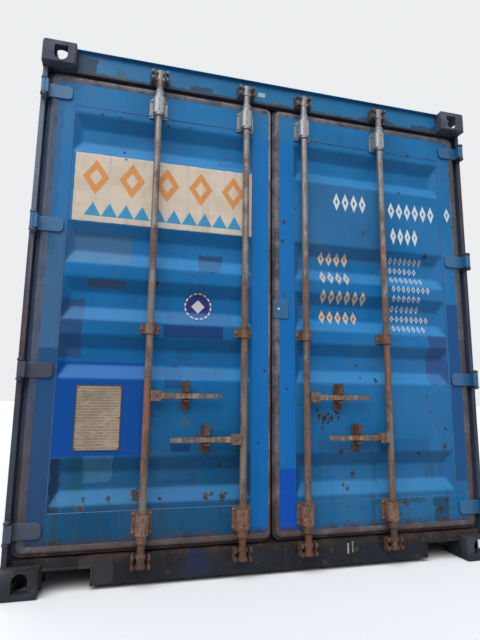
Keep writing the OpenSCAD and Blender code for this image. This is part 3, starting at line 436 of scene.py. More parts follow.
# Left, right, bottom, top, rows, marks in a row, width of a stroke, share of a row's height, and how uneven
# the rows are
paintedMarks = [
    (0.350, 0.565, 1.890, 1.995, 1, 4, 0.011, 1.0, 0.0),
    (0.698, 1.017, 1.878, 1.980, 1, 6, 0.011, 1.0, 0.0),
    (1.078, 1.128, 1.895, 1.985, 1, 1, 0.010, 1.0, 0.0),
    (0.708, 0.898, 1.724, 1.827, 1, 4, 0.011, 1.0, 0.0),
    (0.265, 0.550, 1.224, 1.664, 4, 6, 0.010, 0.70, 0.55),
    (0.705, 0.960, 1.206, 1.660, 8, 8, 0.006, 0.74, 0.35),
]
sign = {
    "left": -1.032, "right": -0.124, "bottom": 1.686, "top": 2.040,
    "teethLeft": -0.978, "teethBottom": 1.716, "tooth": 0.08, "toothHeight": 0.072, "teeth": 10,
    "lozenge": (0.064, 0.092, 0.46), "lozengeLevel": 1.918,
    "lozenges": (-0.930, -0.754, -0.578, -0.402, -0.226),
}
roundMark = {"x": -0.396, "z": 1.296, "radius": 0.075, "dashes": 16, "lozenge": 0.036}


def doorColour(vector, low):  # lighter and greyer at the top, deeper at the bottom
    height = axes(vector)[2]
    lower = mixColour(stepUp(height, 0.15, 1.1), low, paint(8, 104, 164))
    return mixColour(stepUp(height, 1.0, 2.35), lower, paint(24, 112, 168))


def paintPatches(vector, colour, patches):
    for left, right, bottom, top, tint, cover, ragged in patches:
        colour = mixColour(patch(vector, left, right, bottom, top, ragged) * cover, colour, touchUps[tint])
    return colour


def rustPlaces(vector, places):
    spots = [useGroup(spotGroup, Vector=vector, X=x, Z=z, Radius=radius, Run=run)["Mask"]
             for x, z, radius, run in places]
    return functools.reduce(greater, spots)


def signColours(vector):  # cream panel with a row of orange lozenges over a border of blue saw teeth
    x, _, z = axes(vector)
    left, bottom, tall = sign["teethLeft"], sign["teethBottom"], sign["toothHeight"]
    cream = mixColour(stepUp(noise(vector, 14.0, 5.0), 0.4, 0.7), paint(212, 198, 180), paint(202, 186, 166))
    tooth = abs(maths("FRACT", (x - left) / sign["tooth"] + 0.5) - 0.5)
    teeth = stepUp(tooth * 2.0 - (z - bottom) / tall, -0.02, 0.02)
    area = patch(vector, left, left + sign["teeth"] * sign["tooth"], bottom, bottom + tall, 0.0, 0.001)
    colour = mixColour(teeth * area, cream, paint(62, 146, 190))
    wide, tall, hole = sign["lozenge"]
    for centre in sign["lozenges"]:
        away = abs(x - centre) / wide + abs(z - sign["lozengeLevel"]) / tall
        lozenge = stepUp(away, 1.02, 0.98) - stepUp(away, hole + 0.02, hole - 0.02)
        colour = mixColour(lozenge, colour, paint(212, 146, 84))
    return colour


def markColours(vector, colour):  # round mark: dark blue, with a ring of pale dashes round a pale lozenge
    x, _, z = axes(vector)
    dx, dz = x - roundMark["x"], z - roundMark["z"]
    away = maths("SQRT", dx * dx + dz * dz)
    radius, lozenge = roundMark["radius"], roundMark["lozenge"]
    colour = mixColour(stepUp(away, radius, radius - 0.002), colour, paint(36, 48, 112))
    ring = stepUp(away, radius - 0.004, radius - 0.006) - stepUp(away, radius - 0.012, radius - 0.014)
    turn = maths("ARCTAN2", dz, dx) * (roundMark["dashes"] / math.tau)
    dashes = stepUp(maths("FRACT", turn), 0.25, 0.35)
    pale = greater(ring * dashes, stepUp(abs(dx) + abs(dz), lozenge, lozenge - 0.003))
    return mixColour(pale * 0.85, colour, paint(214, 210, 206))


# the marks that touch a piece's box and aren't all inside the other's
def inView(places, node, outside=None):
    low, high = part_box(node)
    kept = []
    for left, right, bottom, top, *rest in places:
        touches = left < high.x and right > low.x and bottom < high.z and top > low.z
        if touches and outside is not None:
            inner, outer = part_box(outside)
            touches = left < inner.x or right > outer.x or bottom < inner.z or top > outer.z
        if touches:
            kept.append((left, right, bottom, top, *rest))
    return kept


def doorFinish(name, side, settings, node, outside=None):
    material, vector = newFinish(name)
    across, _, height = axes(vector)
    dirt = 0.14 + stepUp(height, 0.6, 0.15) * 0.7
    spotted = 0.14 + stepUp(height, 1.3, 0.3) * settings["spots"]
    weather = weathered(vector, doorColour(vector, settings["low"]), 0.25, dirt, spotted)
    colour = paintPatches(vector, weather["Color"], inView(settings["patches"], node, outside))
    if side == "left" and outside is None:
        board = patch(vector, sign["left"], sign["right"], sign["bottom"], sign["top"], 0.006, 0.002)
        colour = markColours(vector, mixColour(board, colour, signColours(vector)))
    if side == "right":
        tint = mixColour(stepUp(across, 0.62, 0.6), paint(196, 196, 188), paint(226, 186, 138))
        tint = mixColour(stepUp(height, 1.68, 1.7), tint, paint(222, 224, 220))
        blocks = inView(paintedMarks, node, outside)
        for left, right, bottom, top, rows, count, stroke, share, uneven in blocks:
            marks = useGroup(markGroup, **{
                "Vector": vector, "Left": left, "Right": right, "Bottom": bottom, "Top": top,
                "Rows": float(rows), "Count": float(count), "Stroke": stroke, "Row Fill": share,
                "Uneven": uneven})
            colour = mixColour(marks["Mask"] * 0.9, colour, tint)
    streak = noise(stretched(vector, 26.0, 26.0, 0.9), 1.0, 5.0, 0.62)
    stained = stepUp(streak, 0.52, 0.7) * (0.16 + stepUp(height, 0.75, 0.2) * 0.5)
    colour = mixColour(stained, colour, paint(44, 62, 68))
    spread = [(x - radius, x + radius, z - radius, z + radius, x, z, radius, run)
              for x, z, radius, run in settings["rust"]]
    spots = rustPlaces(vector, [entry[4:] for entry in inView(spread, node, outside)])
    spots = greater(spots, worn(vector, 0.007, 0.42) * 0.8)
    foot = stepUp(height, 0.235, 0.19) * stepUp(noise(vector, 16.0, 6.0, 0.7), 0.35, 0.6)
    spots = greater(spots, foot * 0.9)
    colour = mixColour(spots, colour, rusted(vector, (82, 60, 52), (36, 36, 34))["Color"])
    _, outward, upward = axes(vector.node.outputs["Normal"])
    # Painted light: faces that look up are painted paler, a painted highlight from the light above, and faces
    # that look down are painted darker, a painted shade
    paintedTopLight = stepUp(upward, 0.15, 0.5) * (0.3 - spots * 0.3)
    colour = mixColour(paintedTopLight, colour, paint(70, 150, 206))
    colour = mixColour(stepUp(upward, -0.15, -0.5) * 0.25, colour, paint(8, 54, 92))
    colour = mixColour(stepUp(outward, 0.6, 0.3), paint(120, 126, 128), colour)
    rough = clamped(weather["Roughness"] + spots * 0.35)
    return finished(material, colour, rough, weather["Height"], 0.0022, gloss=0.16)


# Paint outside, another one towards the load where it is given, with scrapes along the container there
def paintedFinish(name, outside, inside=None, axis=0, fade=0.25, dirt=0.35, rust=0.35, edges=0.5,
                  lift=0.0025):
    material, vector = newFinish(name)
    base = outside
    if inside is not None:
        reach = axes(vector)[axis] - (cadLow[axis] + cadHigh[axis]) / 2
        facing = reach * axes(vector.node.outputs["Normal"])[axis]
        base = mixColour(stepUp(facing, -0.3, -0.1), inside, outside)
    weather = weathered(vector, base, fade, dirt, rust)
    rusty = rusted(vector)
    bare = worn(vector, 0.008, edges)
    if inside is not None:
        grain = (34.0, 1.3, 1.3) if axis == 2 else (1.3, 1.3, 34.0)
        lines = noise(stretched(vector, *grain), 1.0, 4.0, 0.6)
        where = stepUp(noise(vector, 0.9, 3.0), 0.5, 0.58)
        bare = greater(bare, stepUp(lines, 0.62, 0.68) * where * 0.75)
    colour = mixColour(bare, weather["Color"], rusty["Color"])
    rough = clamped(weather["Roughness"] + bare * 0.3)
    return finished(material, colour, rough, weather["Height"] + bare * rusty["Height"], lift)


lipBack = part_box("left_door_post")[0].y + 0.006


def postFinish():  # slate paint with long rust runs, with painted light: paler at the top of the left post and in the channel behind the lip
    material, vector = newFinish("postPaint")
    x, y, height = axes(vector)
    # Painted light: the upper part of the left post is painted paler, standing in for light where the lamps
    # leave it in shade
    pale = stepUp(height, 0.7, 2.0) * stepUp(x, 0.4, -0.4)
    base = mixColour(pale, paint(40, 48, 64), paint(100, 112, 130))
    # Painted light: the channel behind the lip is painted paler, to lift the shade that falls in it
    channelPaintedLight = stepUp(y, lipBack + 0.004, lipBack + 0.016)
    base = mixColour(channelPaintedLight * 0.8, base, paint(92, 108, 140))
    blue = stepUp(noise(stretched(vector, 9.0, 9.0, 1.4), 1.0, 4.0), 0.56, 0.66)
    base = mixColour(blue * 0.45, base, paint(46, 92, 140))
    weather = weathered(vector, base, 0.2, 0.4, 0.5)
    rusty = rusted(vector, (98, 72, 62), (54, 44, 46))
    runs = noise(stretched(vector, 30.0, 30.0, 0.8), 1.0, 5.0, 0.65)
    mask = greater(stepUp(runs, 0.46, 0.62) * 0.85, worn(vector, 0.008, 0.6))
    colour = mixColour(mask, weather["Color"], rusty["Color"])
    rough = clamped(weather["Roughness"] + mask * 0.25)
    return finished(material, colour, rough, weather["Height"] + mask * rusty["Height"], 0.003, gloss=0.25)


def castFinish():  # rough cast steel under worn dark paint, greyer at the bottom and paler at the top
    material, vector = newFinish("castSteel")
    cloudy = stepUp(noise(vector, 8.0, 5.0), 0.38, 0.66)
    upper = mixColour(cloudy, paint(56, 60, 74), paint(84, 92, 112))
    lower = mixColour(cloudy, paint(34, 36, 40), paint(56, 62, 74))
    base = mixColour(stepUp(axes(vector)[2], 0.6, 2.0), lower, upper)
    rusty = rusted(vector, (120, 84, 62), (60, 46, 44))
    cloud = stepUp(noise(vector, 21.0, 6.0, 0.68), 0.56, 0.68)
    mask = greater(worn(vector, 0.014, 0.5), cloud * 0.8)
    colour = mixColour(mask * 0.8, base, rusty["Color"])
    relief = noise(vector, 190.0, 4.0, 0.7) * 0.4 + noise(vector, 34.0, 3.0)
    return finished(material, colour, 0.62 + mask * 0.25, relief, 0.003, 0.8, gloss=0.25)


# Galvanised steel that rusts towards the ground, with orange and bare stretches in its rust
def zincFinish(name, low, high, rustLow, rustHigh, light=(132, 104, 84), dark=(104, 80, 66), wear=0.005,
               mottle=0.5):
    material, vector = newFinish(name)
    height = axes(vector)[2]
    spangle = cells(vector, 130.0, "SMOOTH_F1")["Distance"]
    zinc = mixColour(spangle * 0.9, paint(*high), paint(*low))
    streak = noise(stretched(vector, 42.0, 42.0, 2.2), 1.0, 5.0, 0.65)
    both = streak * 0.5 + noise(vector, 13.0, 6.0, 0.65) * 0.5
    inputs = {"Value": height, "From Min": 0.9, "From Max": 2.3, "To Min": rustLow, "To Max": rustHigh}
    level = feed("ShaderNodeMapRange", inputs).outputs["Result"]
    mask = stepUp(both, 0.74 - level, 0.86 - level)
    tan = rusted(vector, light, dark)
    deep = rusted(vector, (98, 62, 42), (50, 36, 32))["Color"]
    pits = stepUp(noise(vector, 48.0, 6.0, 0.7), 0.56, 0.66)
    rust = mixColour(greater(pits * 0.75, worn(vector, wear, 0.7)), tan["Color"], deep)
    stretch = noise(stretched(vector, 14.0, 14.0, 2.0), 1.0, 5.0, 0.62)
    rust = mixColour(stepUp(stretch, 0.51, 0.62) * (0.6 * mottle), rust, paint(150, 88, 54))
    rust = mixColour(stepUp(stretch, 0.46, 0.36) * (0.5 * mottle), rust, paint(138, 130, 122))
    foot = stepUp(height, 0.23, 0.16) * 0.85
    colour = mixColour(mask, zinc, mixColour(foot, rust, deep))
    relief = mask * tan["Height"] + pits * -0.4
    return finished(material, colour, 0.42 + mask * 0.38, relief, 0.0016, 0.8, metal=(1.0 - mask) * 0.45)


def rubberFinish():  # grey seal, slate at the sides, brown at the foot, with fine cracks
    material, vector = newFinish("sealRubber")
    x, _, height = axes(vector)
    cloud = stepUp(noise(vector, 14.0, 6.0, 0.68), 0.38, 0.62)
    base = mixColour(cloud, paint(68, 65, 72), paint(122, 116, 122))
    slate = stepUp(noise(vector, 3.0, 4.0), 0.35, 0.6) * 0.3 + 0.6
    sides = mixColour(stepUp(x, 0.1, -0.1), paint(50, 48, 60), paint(58, 76, 104))
    base = mixColour(stepUp(abs(x), 1.12, 1.15) * slate, base, sides)
    brown = stepUp(height, 1.1, 0.2) * stepUp(noise(vector, 6.0, 5.0), 0.25, 0.5)
    base = mixColour(brown * 0.85, base, paint(66, 50, 46))
    pale = patch(vector, -0.03, -0.008, 2.02, 2.44, 0.05, 0.01)
    base = mixColour(pale * 0.7, base, paint(158, 156, 154))
    dark = stepUp(cells(vector, 120.0, "DISTANCE_TO_EDGE")["Distance"], 0.05, 0.0)
    colour = mixColour(dark * 0.5, base, paint(34, 30, 32))
    return finished(material, colour, 0.62, noise(vector, 60.0, 5.0) - dark, 0.0012, 0.8)


def plateFinish():  # beige plate with a dark band round its edge, partly a rim line and partly painted edge shadow, its print worn down to specks in blocks
    material, vector = newFinish("plateMetal")
    x, _, z = axes(vector)
    low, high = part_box("data_plate")
    base = mixColour(stepUp(noise(vector, 9.0, 6.0), 0.3, 0.7), paint(160, 142, 122), paint(140, 124, 106))
    lines = stepUp(maths("FRACT", z * 74.0), 0.4, 0.52)
    blocks = stepUp(noise(stretched(vector, 1.0, 1.0, 1.6), 26.0, 2.0), 0.4, 0.46)
    specks = stepUp(noise(stretched(vector, 1.0, 1.0, 1.8), 190.0, 4.0, 0.8), 0.46, 0.54)
    colour = mixColour(lines * blocks * specks * 0.8, base, paint(78, 70, 60))
    # The dark band round the plate's edge is partly a rim line and partly painted shadow at the edge
    inset = lesser(lesser(x - low.x, high.x - x), lesser(z - low.z, high.z - z))
    rim = stepUp(inset, 0.0062, 0.0046)
    colour = mixColour(rim * 0.9, colour, paint(38, 34, 34))
    dots = useGroup(speckleGroup, Vector=vector, Scale=70.0, Amount=0.4, Size=0.16)["Mask"]
    colour = mixColour(dots, colour, paint(62, 54, 44))
    green = patch(vector, low.x + 0.03, low.x + 0.12, high.z - 0.075, high.z - 0.025, 0.03, 0.01)
    colour = mixColour(green * 0.4, colour, paint(96, 96, 66))
    return finished(material, colour, 0.55, rim + noise(vector, 30.0, 4.0), 0.0006, 0.6, metal=0.15)


def boardFinish():
    material, vector = newFinish("floorBoards")
    grain = noise(stretched(vector, 70.0, 2.2, 70.0), 1.0, 6.0, 0.6, 0.6)
    base = mixColour(stepUp(grain, 0.35, 0.68), paint(112, 78, 50), paint(150, 112, 76))
    scuffs = stepUp(noise(vector, 5.0, 6.0, 0.65), 0.5, 0.7)
    base = mixColour(scuffs * 0.5, base, paint(84, 70, 60))
    wheel = noise(stretched(vector, 7.0, 0.5, 1.0), 1.0, 4.0)
    base = mixColour(stepUp(wheel, 0.52, 0.66) * 0.4, base, paint(60, 54, 52))
    return finished(material, base, 0.55 + scuffs * 0.2, grain + scuffs, 0.0012, 0.6)


def hingeFinish():  # blue blades, the lower left ones overpainted slate
    material, vector = newFinish("hingePaint")
    x, _, z = axes(vector)
    base = mixColour(stepUp(z, 0.9, 2.3), paint(20, 84, 126), paint(26, 98, 146))
    base = mixColour(stepUp(x, -0.5, -0.9) * stepUp(z, 1.6, 1.3), base, paint(44, 52, 70))
    base = mixColour(patch(vector, -0.02, 0.03, 1.2, 1.4, 0.02), base, paint(44, 82, 124))
    weather = weathered(vector, base, 0.3, 0.4, 0.3)
    colour = mixColour(worn(vector, 0.008, 0.55) * 0.7, weather["Color"], rusted(vector)["Color"])
    return finished(material, colour, weather["Roughness"], weather["Height"], 0.003, 0.8)


sillPatches = [
    (-0.900, -0.760, 0.030, 0.140, "char", 0.5, 0.08),
    (-0.420, -0.330, 0.030, 0.140, "ink", 0.6, 0.05),
    (0.388, 0.398, 0.070, 0.120, "chalk", 0.8, 0.01),
    (0.414, 0.422, 0.074, 0.126, "chalk", 0.6, 0.012),
]
headerPatches = [
    (-0.094, -0.052, 2.506, 2.530, "label", 0.85, 0.004),
    (-1.080, -0.960, 2.455, 2.560, "black", 0.8, 0.07),
    (-0.860, -0.800, 2.470, 2.520, "bronze", 0.5, 0.06),
    (-0.480, -0.350, 2.470, 2.505, "black", 0.7, 0.05),
    (0.880, 1.060, 2.466, 2.500, "black", 0.7, 0.05),
    (0.520, 0.760, 2.466, 2.492, "ink", 0.7, 0.05),
]


def sillFinish():  # nearly black, browned with dirt along its top, a light scuff and a few scrapes
    material, vector = newFinish("sillPaint")
    weather = weathered(vector, paint(18, 20, 26), 0.1, 0.4, 0.5)
    colour = paintPatches(vector, weather["Color"], sillPatches)
    browned = stepUp(axes(vector)[2], 0.09, 0.15) * stepUp(noise(vector, 9.0, 6.0, 0.65), 0.36, 0.62)
    mask = greater(browned * 0.8, worn(vector, 0.008, 0.6))
    colour = mixColour(mask, colour, rusted(vector, (86, 62, 50), (42, 34, 32))["Color"])
    rough = clamped(weather["Roughness"] + mask * 0.25)
    return finished(material, colour, rough, weather["Height"], 0.0028, gloss=0.2)


def headerFinish():  # wall paint with a dark fringe over the seal, partly dirt and partly painted shade under the header, and one small blank label
    material, vector = newFinish("headerPaint")
    weather = weathered(vector, paint(24, 108, 158), 0.3, 0.35, 0.35)
    colour = paintPatches(vector, weather["Color"], headerPatches)
    # The dark fringe along the header's lower edge is partly dirt and partly painted shade where the header
    # overhangs the seal
    ragged = (noise(vector, 18.0, 6.0, 0.7) - 0.5) * 0.05
    mask = greater(stepUp(axes(vector)[2] + ragged, 2.48, 2.47), worn(vector, 0.008, 0.5))
    colour = mixColour(mask * 0.9, colour, rusted(vector, (74, 66, 66), (40, 40, 46))["Color"])
    return finished(material, colour, weather["Roughness"], weather["Height"], 0.0025, gloss=0.2)


wallBlue = paint(16, 98, 148)
finishes = {
    "casting_steel": castFinish(),
    "post_paint": postFinish(),
    "sill_paint": sillFinish(),
    "underframe_paint": paintedFinish("underframePaint", paint(34, 35, 40), fade=0.1, dirt=0.5, rust=0.5,
                                      edges=0.55),
    "floor_boards": boardFinish(),
    "wall_paint": paintedFinish("wallPaint", wallBlue, rust=0.3),
    "gasket_rubber": rubberFinish(),
    "hinge_paint": hingeFinish(),
    "bar_steel": zincFinish("barSteel", (104, 98, 96), (142, 136, 132), 0.40, 0.23,
                            (114, 90, 75), (84, 64, 54), mottle=1.0),
    "bracket_steel": zincFinish("bracketSteel", (116, 117, 119), (160, 160, 160), 0.46, 0.06,
                                (140, 108, 86), (84, 58, 44), 0.009),
    "handle_steel": zincFinish("handleSteel", (118, 98, 84), (158, 138, 122), 0.34, 0.3,
                               (130, 98, 80), (80, 54, 42), 0.007),
    "plate_metal": plateFinish(),
}
gearFinish = zincFinish("gearSteel", (76, 70, 72), (116, 112, 116), 0.5, 0.28, (92, 66, 55), (50, 36, 33),
                        0.008, 0.15)
flangeFinish = zincFinish("flangeSteel", (104, 108, 116), (146, 150, 158), 0.5, 0.08,
                          (124, 88, 66), (72, 48, 38), 0.006)
boltFinish = zincFinish("boltSteel", (92, 80, 74), (130, 122, 118), 0.42, 0.24)
brightFinish = zincFinish("brightSteel", (150, 156, 158), (200, 206, 208), 0.1, 0.1)
darkFinish = paintedFinish("darkRivets", paint(64, 50, 44), fade=0.0, dirt=0.3, rust=0.8, edges=0.4)
holeFinish = paintedFinish("pinHoles", paint(26, 22, 22), fade=0.0, dirt=0.2, rust=0.3)
seamFinish = paintedFinish("seamPaint", paint(34, 84, 134), fade=0.2, dirt=0.5, rust=0.8)
ownFinishes = {"door_header": headerFinish(), "cam_keepers": gearFinish}
sheets = {"side": ("left_side_wall", "right_side_wall", "top_side_rails"), "front": ("front_wall",),
          "roof": ("roof",)}
for axis, (place, nodes) in enumerate(sheets.items()):
    sheetFinish = paintedFinish(place + "SheetPaint", wallBlue, paint(138, 146, 148), axis, dirt=0.45,
                                rust=0.9, edges=0.8)
    ownFinishes.update({node: sheetFinish for node in nodes})
for side, settings in (("left", leftDoorPaint), ("right", rightDoorPaint)):
    ownFinishes[side + "_bar_guides"] = flangeFinish
    for piece in ("_handle_retainers", "_outer_catch", "_inner_catch"):
        ownFinishes[side + piece] = gearFinish
    panelNode, frameNode = side + "_door_panel", side + "_door_frame"
    ownFinishes[panelNode] = doorFinish(side + "PanelPaint", side, settings, panelNode)
    ownFinishes[frameNode] = doorFinish(side + "FramePaint", side, settings, frameNode, panelNode)
print("finishes made:", len(finishes) + len(ownFinishes))

# pieces


def finishFor(node):
    return ownFinishes.get(node) or finishes[slotOf[node]]


def addPiece(name, mesh, body, slot, finish, *replaced):
    mesh.materials.clear()
    mesh.materials.append(finish)
    piece = bpy.data.objects.new(name, mesh)
    scene.collection.objects.link(piece)
    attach(piece, body)
    if replaced:
        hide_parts(*replaced)
    return piece


def dress(node, mesh, thickness=None):  # a piece in place of a CAD node, made solid if it is a bare sheet
    piece = addPiece(camel(node), mesh, bodyOf[node], slotOf[node], finishFor(node), node)
    if thickness:
        solid = piece.modifiers.new("sheet", "SOLIDIFY")
        solid.thickness = thickness
        solid.offset = -1.0
        piece.modifiers.new("normals", "WEIGHTED_NORMAL").keep_sharp = True
    return piece


def meshOf(form, name, sharp):
    mesh = bpy.data.meshes.new(name)
    form.to_mesh(mesh)
    form.free()
    mesh.shade_smooth()
    mesh.set_sharp_from_angle(angle=math.radians(sharp))
    return mesh


casting = {"round": 0.026, "steps": 6}
bladeTip = {"reach": 1.1, "corner": 0.021, "steps": 5}
# Width of the rounded edges in metres for each group of pieces, and the steps round them
edgeRounding = [
    (0.0042, 3, ["left_hinge_blades", "right_hinge_blades"]),
    (0.003, 3, ["top_corner_castings", "bottom_corner_castings"]),
    (0.0018, 2, ["hinge_lugs", "cam_keepers", "left_bar_guides", "right_bar_guides", "left_handle_retainers",
                 "right_handle_retainers", "overlap_plate",
                 *[node for node in cadNodes if node.endswith(("_bar", "_handle", "_catch"))]]),
    (0.0025, 2, ["left_door_post", "right_door_post", "front_posts", "door_header", "door_sill",
                 "front_header", "front_sill", "top_side_rails", "left_bottom_rail", "right_bottom_rail",
                 "fork_pockets", "left_door_frame", "right_door_frame"]),
    (0.001, 1, ["rain_gutter", "roof_corner_plates", "data_plate", "vents", "cross_members"]),
]


def isTip(edge, low, high):  # the corners of a hinge blade's tip
    first, second = [vert.co for vert in edge.verts]
    middle = (first + second) / 2
    atEnd = min(abs(middle.x - low.x), abs(middle.x - high.x)) < 0.001
    upright = abs((first - second).normalized().y) > 0.99
    return edge.is_manifold and atEnd and upright and abs(middle.x) < bladeTip["reach"]


# the upper or lower long outer edge of each casting, drawn in to a wide round
def roundCastings(form, low, high):
    radius, steps = casting["round"], casting["steps"]
    face, sense = (high.z, 1) if low.z > 1 else (low.z, -1)
    for step in range(steps):
        inset = radius * (1 - math.sin(math.pi / 2 * step / steps))
        cuts = [((sign * (high.x - inset), 0, 0), (1, 0, 0)) for sign in (-1, 1)]
        for place, normal in cuts + [((0, 0, face - sense * inset), (0, 0, 1))]:
            everything = form.verts[:] + form.edges[:] + form.faces[:]
            bmesh.ops.bisect_plane(form, geom=everything, dist=0.00001, plane_co=place, plane_no=normal)
    for vert in form.verts:
        across = abs(vert.co.x) - (high.x - radius)
        upward = sense * (vert.co.z - face) + radius
        away = math.hypot(across, upward)
        if across > 0 and upward > 0 and away > radius:
            vert.co.x = math.copysign(high.x - radius + across * radius / away, vert.co.x)
            vert.co.z = face + sense * (upward * radius / away - radius)


def softened(node, width, steps):  # a CAD node's triangles joined into whole flat faces, with rounded edges
    form = bmesh.new()
    form.from_mesh(cadNodes[node].data)
    bmesh.ops.remove_doubles(form, verts=form.verts, dist=0.00002)
    bmesh.ops.dissolve_limit(form, angle_limit=math.radians(0.6), verts=form.verts, edges=form.edges)
    low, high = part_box(node)
    if node.endswith("castings"):
        roundCastings(form, low, high)
    elif node.endswith("blades"):
        tips = [edge for edge in form.edges if isTip(edge, low, high)]
        bmesh.ops.bevel(form, geom=tips, offset=bladeTip["corner"], segments=bladeTip["steps"], profile=0.5,
                        affect="EDGES", clamp_overlap=False)
    bmesh.ops.connect_verts_concave(form, faces=form.faces)
    piece = dress(node, meshOf(form, camel(node), 58))
    rounding = piece.modifiers.new("rounding", "BEVEL")
    rounding.width = width
    rounding.segments = steps
    rounding.limit_method = "ANGLE"
    rounding.angle_limit = math.radians(38)
    rounding.use_clamp_overlap = True
    rounding.miter_outer = "MITER_ARC"
    piece.modifiers.new("normals", "WEIGHTED_NORMAL").keep_sharp = True


for width, steps, nodes in edgeRounding:
    for node in nodes:
        softened(node, width, steps)
print("edges rounded")

# trees that grow repeated and swept pieces


def newGrower(name, inputs):
    return newGroup(name, {**inputs, "Finish": None}, ("Geometry",), "GeometryNodeTree")


def grown(given, out, node, smooth=False):  # the ending of each tree
    made = feed("GeometryNodeRealizeInstances", {0: node.outputs[0]})
    if smooth:
        made = feed("GeometryNodeSetShadeSmooth", {"Geometry": made.outputs[0]})
    made = feed("GeometryNodeSetMaterial", {"Geometry": made.outputs[0], "Material": given["Finish"]})
    return closeGroup(out, Geometry=made.outputs[0])


def gridOf(given, wide, tall):
    return feed("GeometryNodeMeshGrid", {"Size X": wide, "Size Y": tall, "Vertices X": given["Columns"],
                                         "Vertices Y": given["Rows"]}).outputs["Mesh"]


def onPoints(given, shape, **inputs):
    return feed("GeometryNodeInstanceOnPoints", {"Points": given["Geometry"], "Instance": shape, **inputs})


def swept(curve, radius, profile):
    sized = feed("GeometryNodeSetCurveRadius", {"Curve": curve.outputs[0], "Radius": radius})
    inputs = {"Curve": sized.outputs[0], "Profile Curve": profile.outputs[0], "Fill Caps": True}
    return feed("GeometryNodeCurveToMesh", inputs)


def dents(given, place, edge, margin, scale, detail):  # soft dents that end short of the edges
    seeded = shifted("ADD", place, joined(None, None, given["Seed"]))[0]
    return (noise(seeded, scale, detail) - 0.5) * given["Dent"] * stepUp(edge, 0.0, margin)


def bentSheet(given, out, wide, x, y, depth):
    bent = {"Geometry": gridOf(given, given[wide], given["Height"]), "Position": joined(x, y, depth * -1.0)}
    return grown(given, out, feed("GeometryNodeSetPosition", bent))


def makePressedPanel():  # sheet with recesses at set distances from its middle, each with sloping sides
    given, out = newGrower("pressedPanel", {
        "Width": 0.93, "Height": 1.96, "Depth": 0.034, "Pan Height": 0.211, "Slope": 0.068,
        "End Slope": 0.038, "Near": 0.277, "Far": 0.845, "Middle": 0.0, "Dent": 0.002, "Seed": 3,
        "Columns": 76, "Rows": 250})
    place = source(given, "GeometryNodeInputPosition")[0]
    x, y, _ = axes(place)
    away = abs(y - given["Middle"])
    nearest = lesser(away, lesser(abs(away - given["Near"]), abs(away - given["Far"])))
    rise = (given["Pan Height"] * 0.5 - nearest) / given["Slope"]
    edge = given["Width"] * 0.5 - abs(x)
    ramp = maths("SMOOTH_MIN", maths("SMOOTH_MIN", rise, edge / given["End Slope"], 0.1), 1.0, 0.1)
    ramp = maths("SMOOTH_MAX", ramp, 0.0, 0.1)
    depth = ramp * given["Depth"] + dents(given, place, edge, 0.08, 3.1, 2.0)
    return bentSheet(given, out, "Width", x, y, depth)


def makeFoldedSheet():  # trapezoid folds one after another along X, with recess ends where End Slope isn't 0
    given, out = newGrower("foldedSheet", {
        "Length": 5.7, "Height": 2.34, "Depth": 0.036, "Flat": 0.072, "Recess": 0.072, "Slope": 0.068,
        "Start": 0.087, "Count": 20, "Margin": 0.0, "End Slope": 0.0, "Dent": 0.004, "Seed": 5,
        "Columns": 560, "Rows": 24})
    place = source(given, "GeometryNodeInputPosition")[0]
    x, y, _ = axes(place)
    pitch = given["Slope"] * 2.0 + (given["Flat"] + given["Recess"])
    along = x + given["Length"] * 0.5 - given["Start"]
    middle = given["Slope"] + given["Recess"] * 0.5
    rise = (middle - abs(maths("FLOORED_MODULO", along, pitch) - middle)) / given["Slope"]
    ramp = maths("SMOOTH_MAX", maths("SMOOTH_MIN", rise, 1.0, 0.15), 0.0, 0.15)
    ramp = ramp * maths("GREATER_THAN", along, 0.0) * maths("LESS_THAN", along, pitch * given["Count"])
    edge = given["Height"] * 0.5 - abs(y)
    closing = clamped((edge - given["Margin"]) / greater(given["End Slope"], 0.0001))
    closing = greater(closing, maths("LESS_THAN", given["End Slope"], 0.0001))
    depth = greater(ramp * closing * given["Depth"] + dents(given, place, edge, 0.12, 2.3, 3.0), 0.0)
    return bentSheet(given, out, "Length", x, y, depth)


def makeHeads():  # a low round head on every point of a mesh, facing along Facing
    given, out = newGrower("roundHeads", {
        "Geometry": None, "Radius": 0.008, "Rise": 0.5, "Facing": (math.pi / 2, 0.0, 0.0), "Steps": 12,
        "Seed": 1})
    inputs = {"Segments": given["Steps"], "Rings": 6, "Radius": given["Radius"]}
    ball = feed("GeometryNodeMeshUVSphere", inputs).outputs["Mesh"]
    low = feed("GeometryNodeTransform", {"Geometry": ball, "Scale": joined(1.0, 1.0, given["Rise"])})
    size = feed("FunctionNodeRandomValue", {2: 0.9, 3: 1.1, "Seed": given["Seed"]}, data_type="FLOAT")
    heads = onPoints(given, low.outputs[0], Rotation=given["Facing"], Scale=size.outputs[1])
    return grown(given, out, heads, True)


def makeBead():  # weld bead along the edges of a mesh
    given, out = newGrower("weldBead", {"Geometry": None, "Width": 0.007, "Step": 0.009, "Lumps": 0.35})
    curve = feed("GeometryNodeMeshToCurve", {0: given["Geometry"]}).outputs[0]
    fine = feed("GeometryNodeResampleCurve", {"Curve": curve, "Length": given["Step"]}, mode="LENGTH")
    lump = noise(source(given, "GeometryNodeInputPosition")[0], 75.0, 3.0, 0.7) - 0.5
    ring = feed("GeometryNodeCurvePrimitiveCircle", {"Resolution": 6, "Radius": given["Width"] * 0.5})
    return grown(given, out, swept(fine, 1.0 + lump * (given["Lumps"] * 3.0), ring), True)


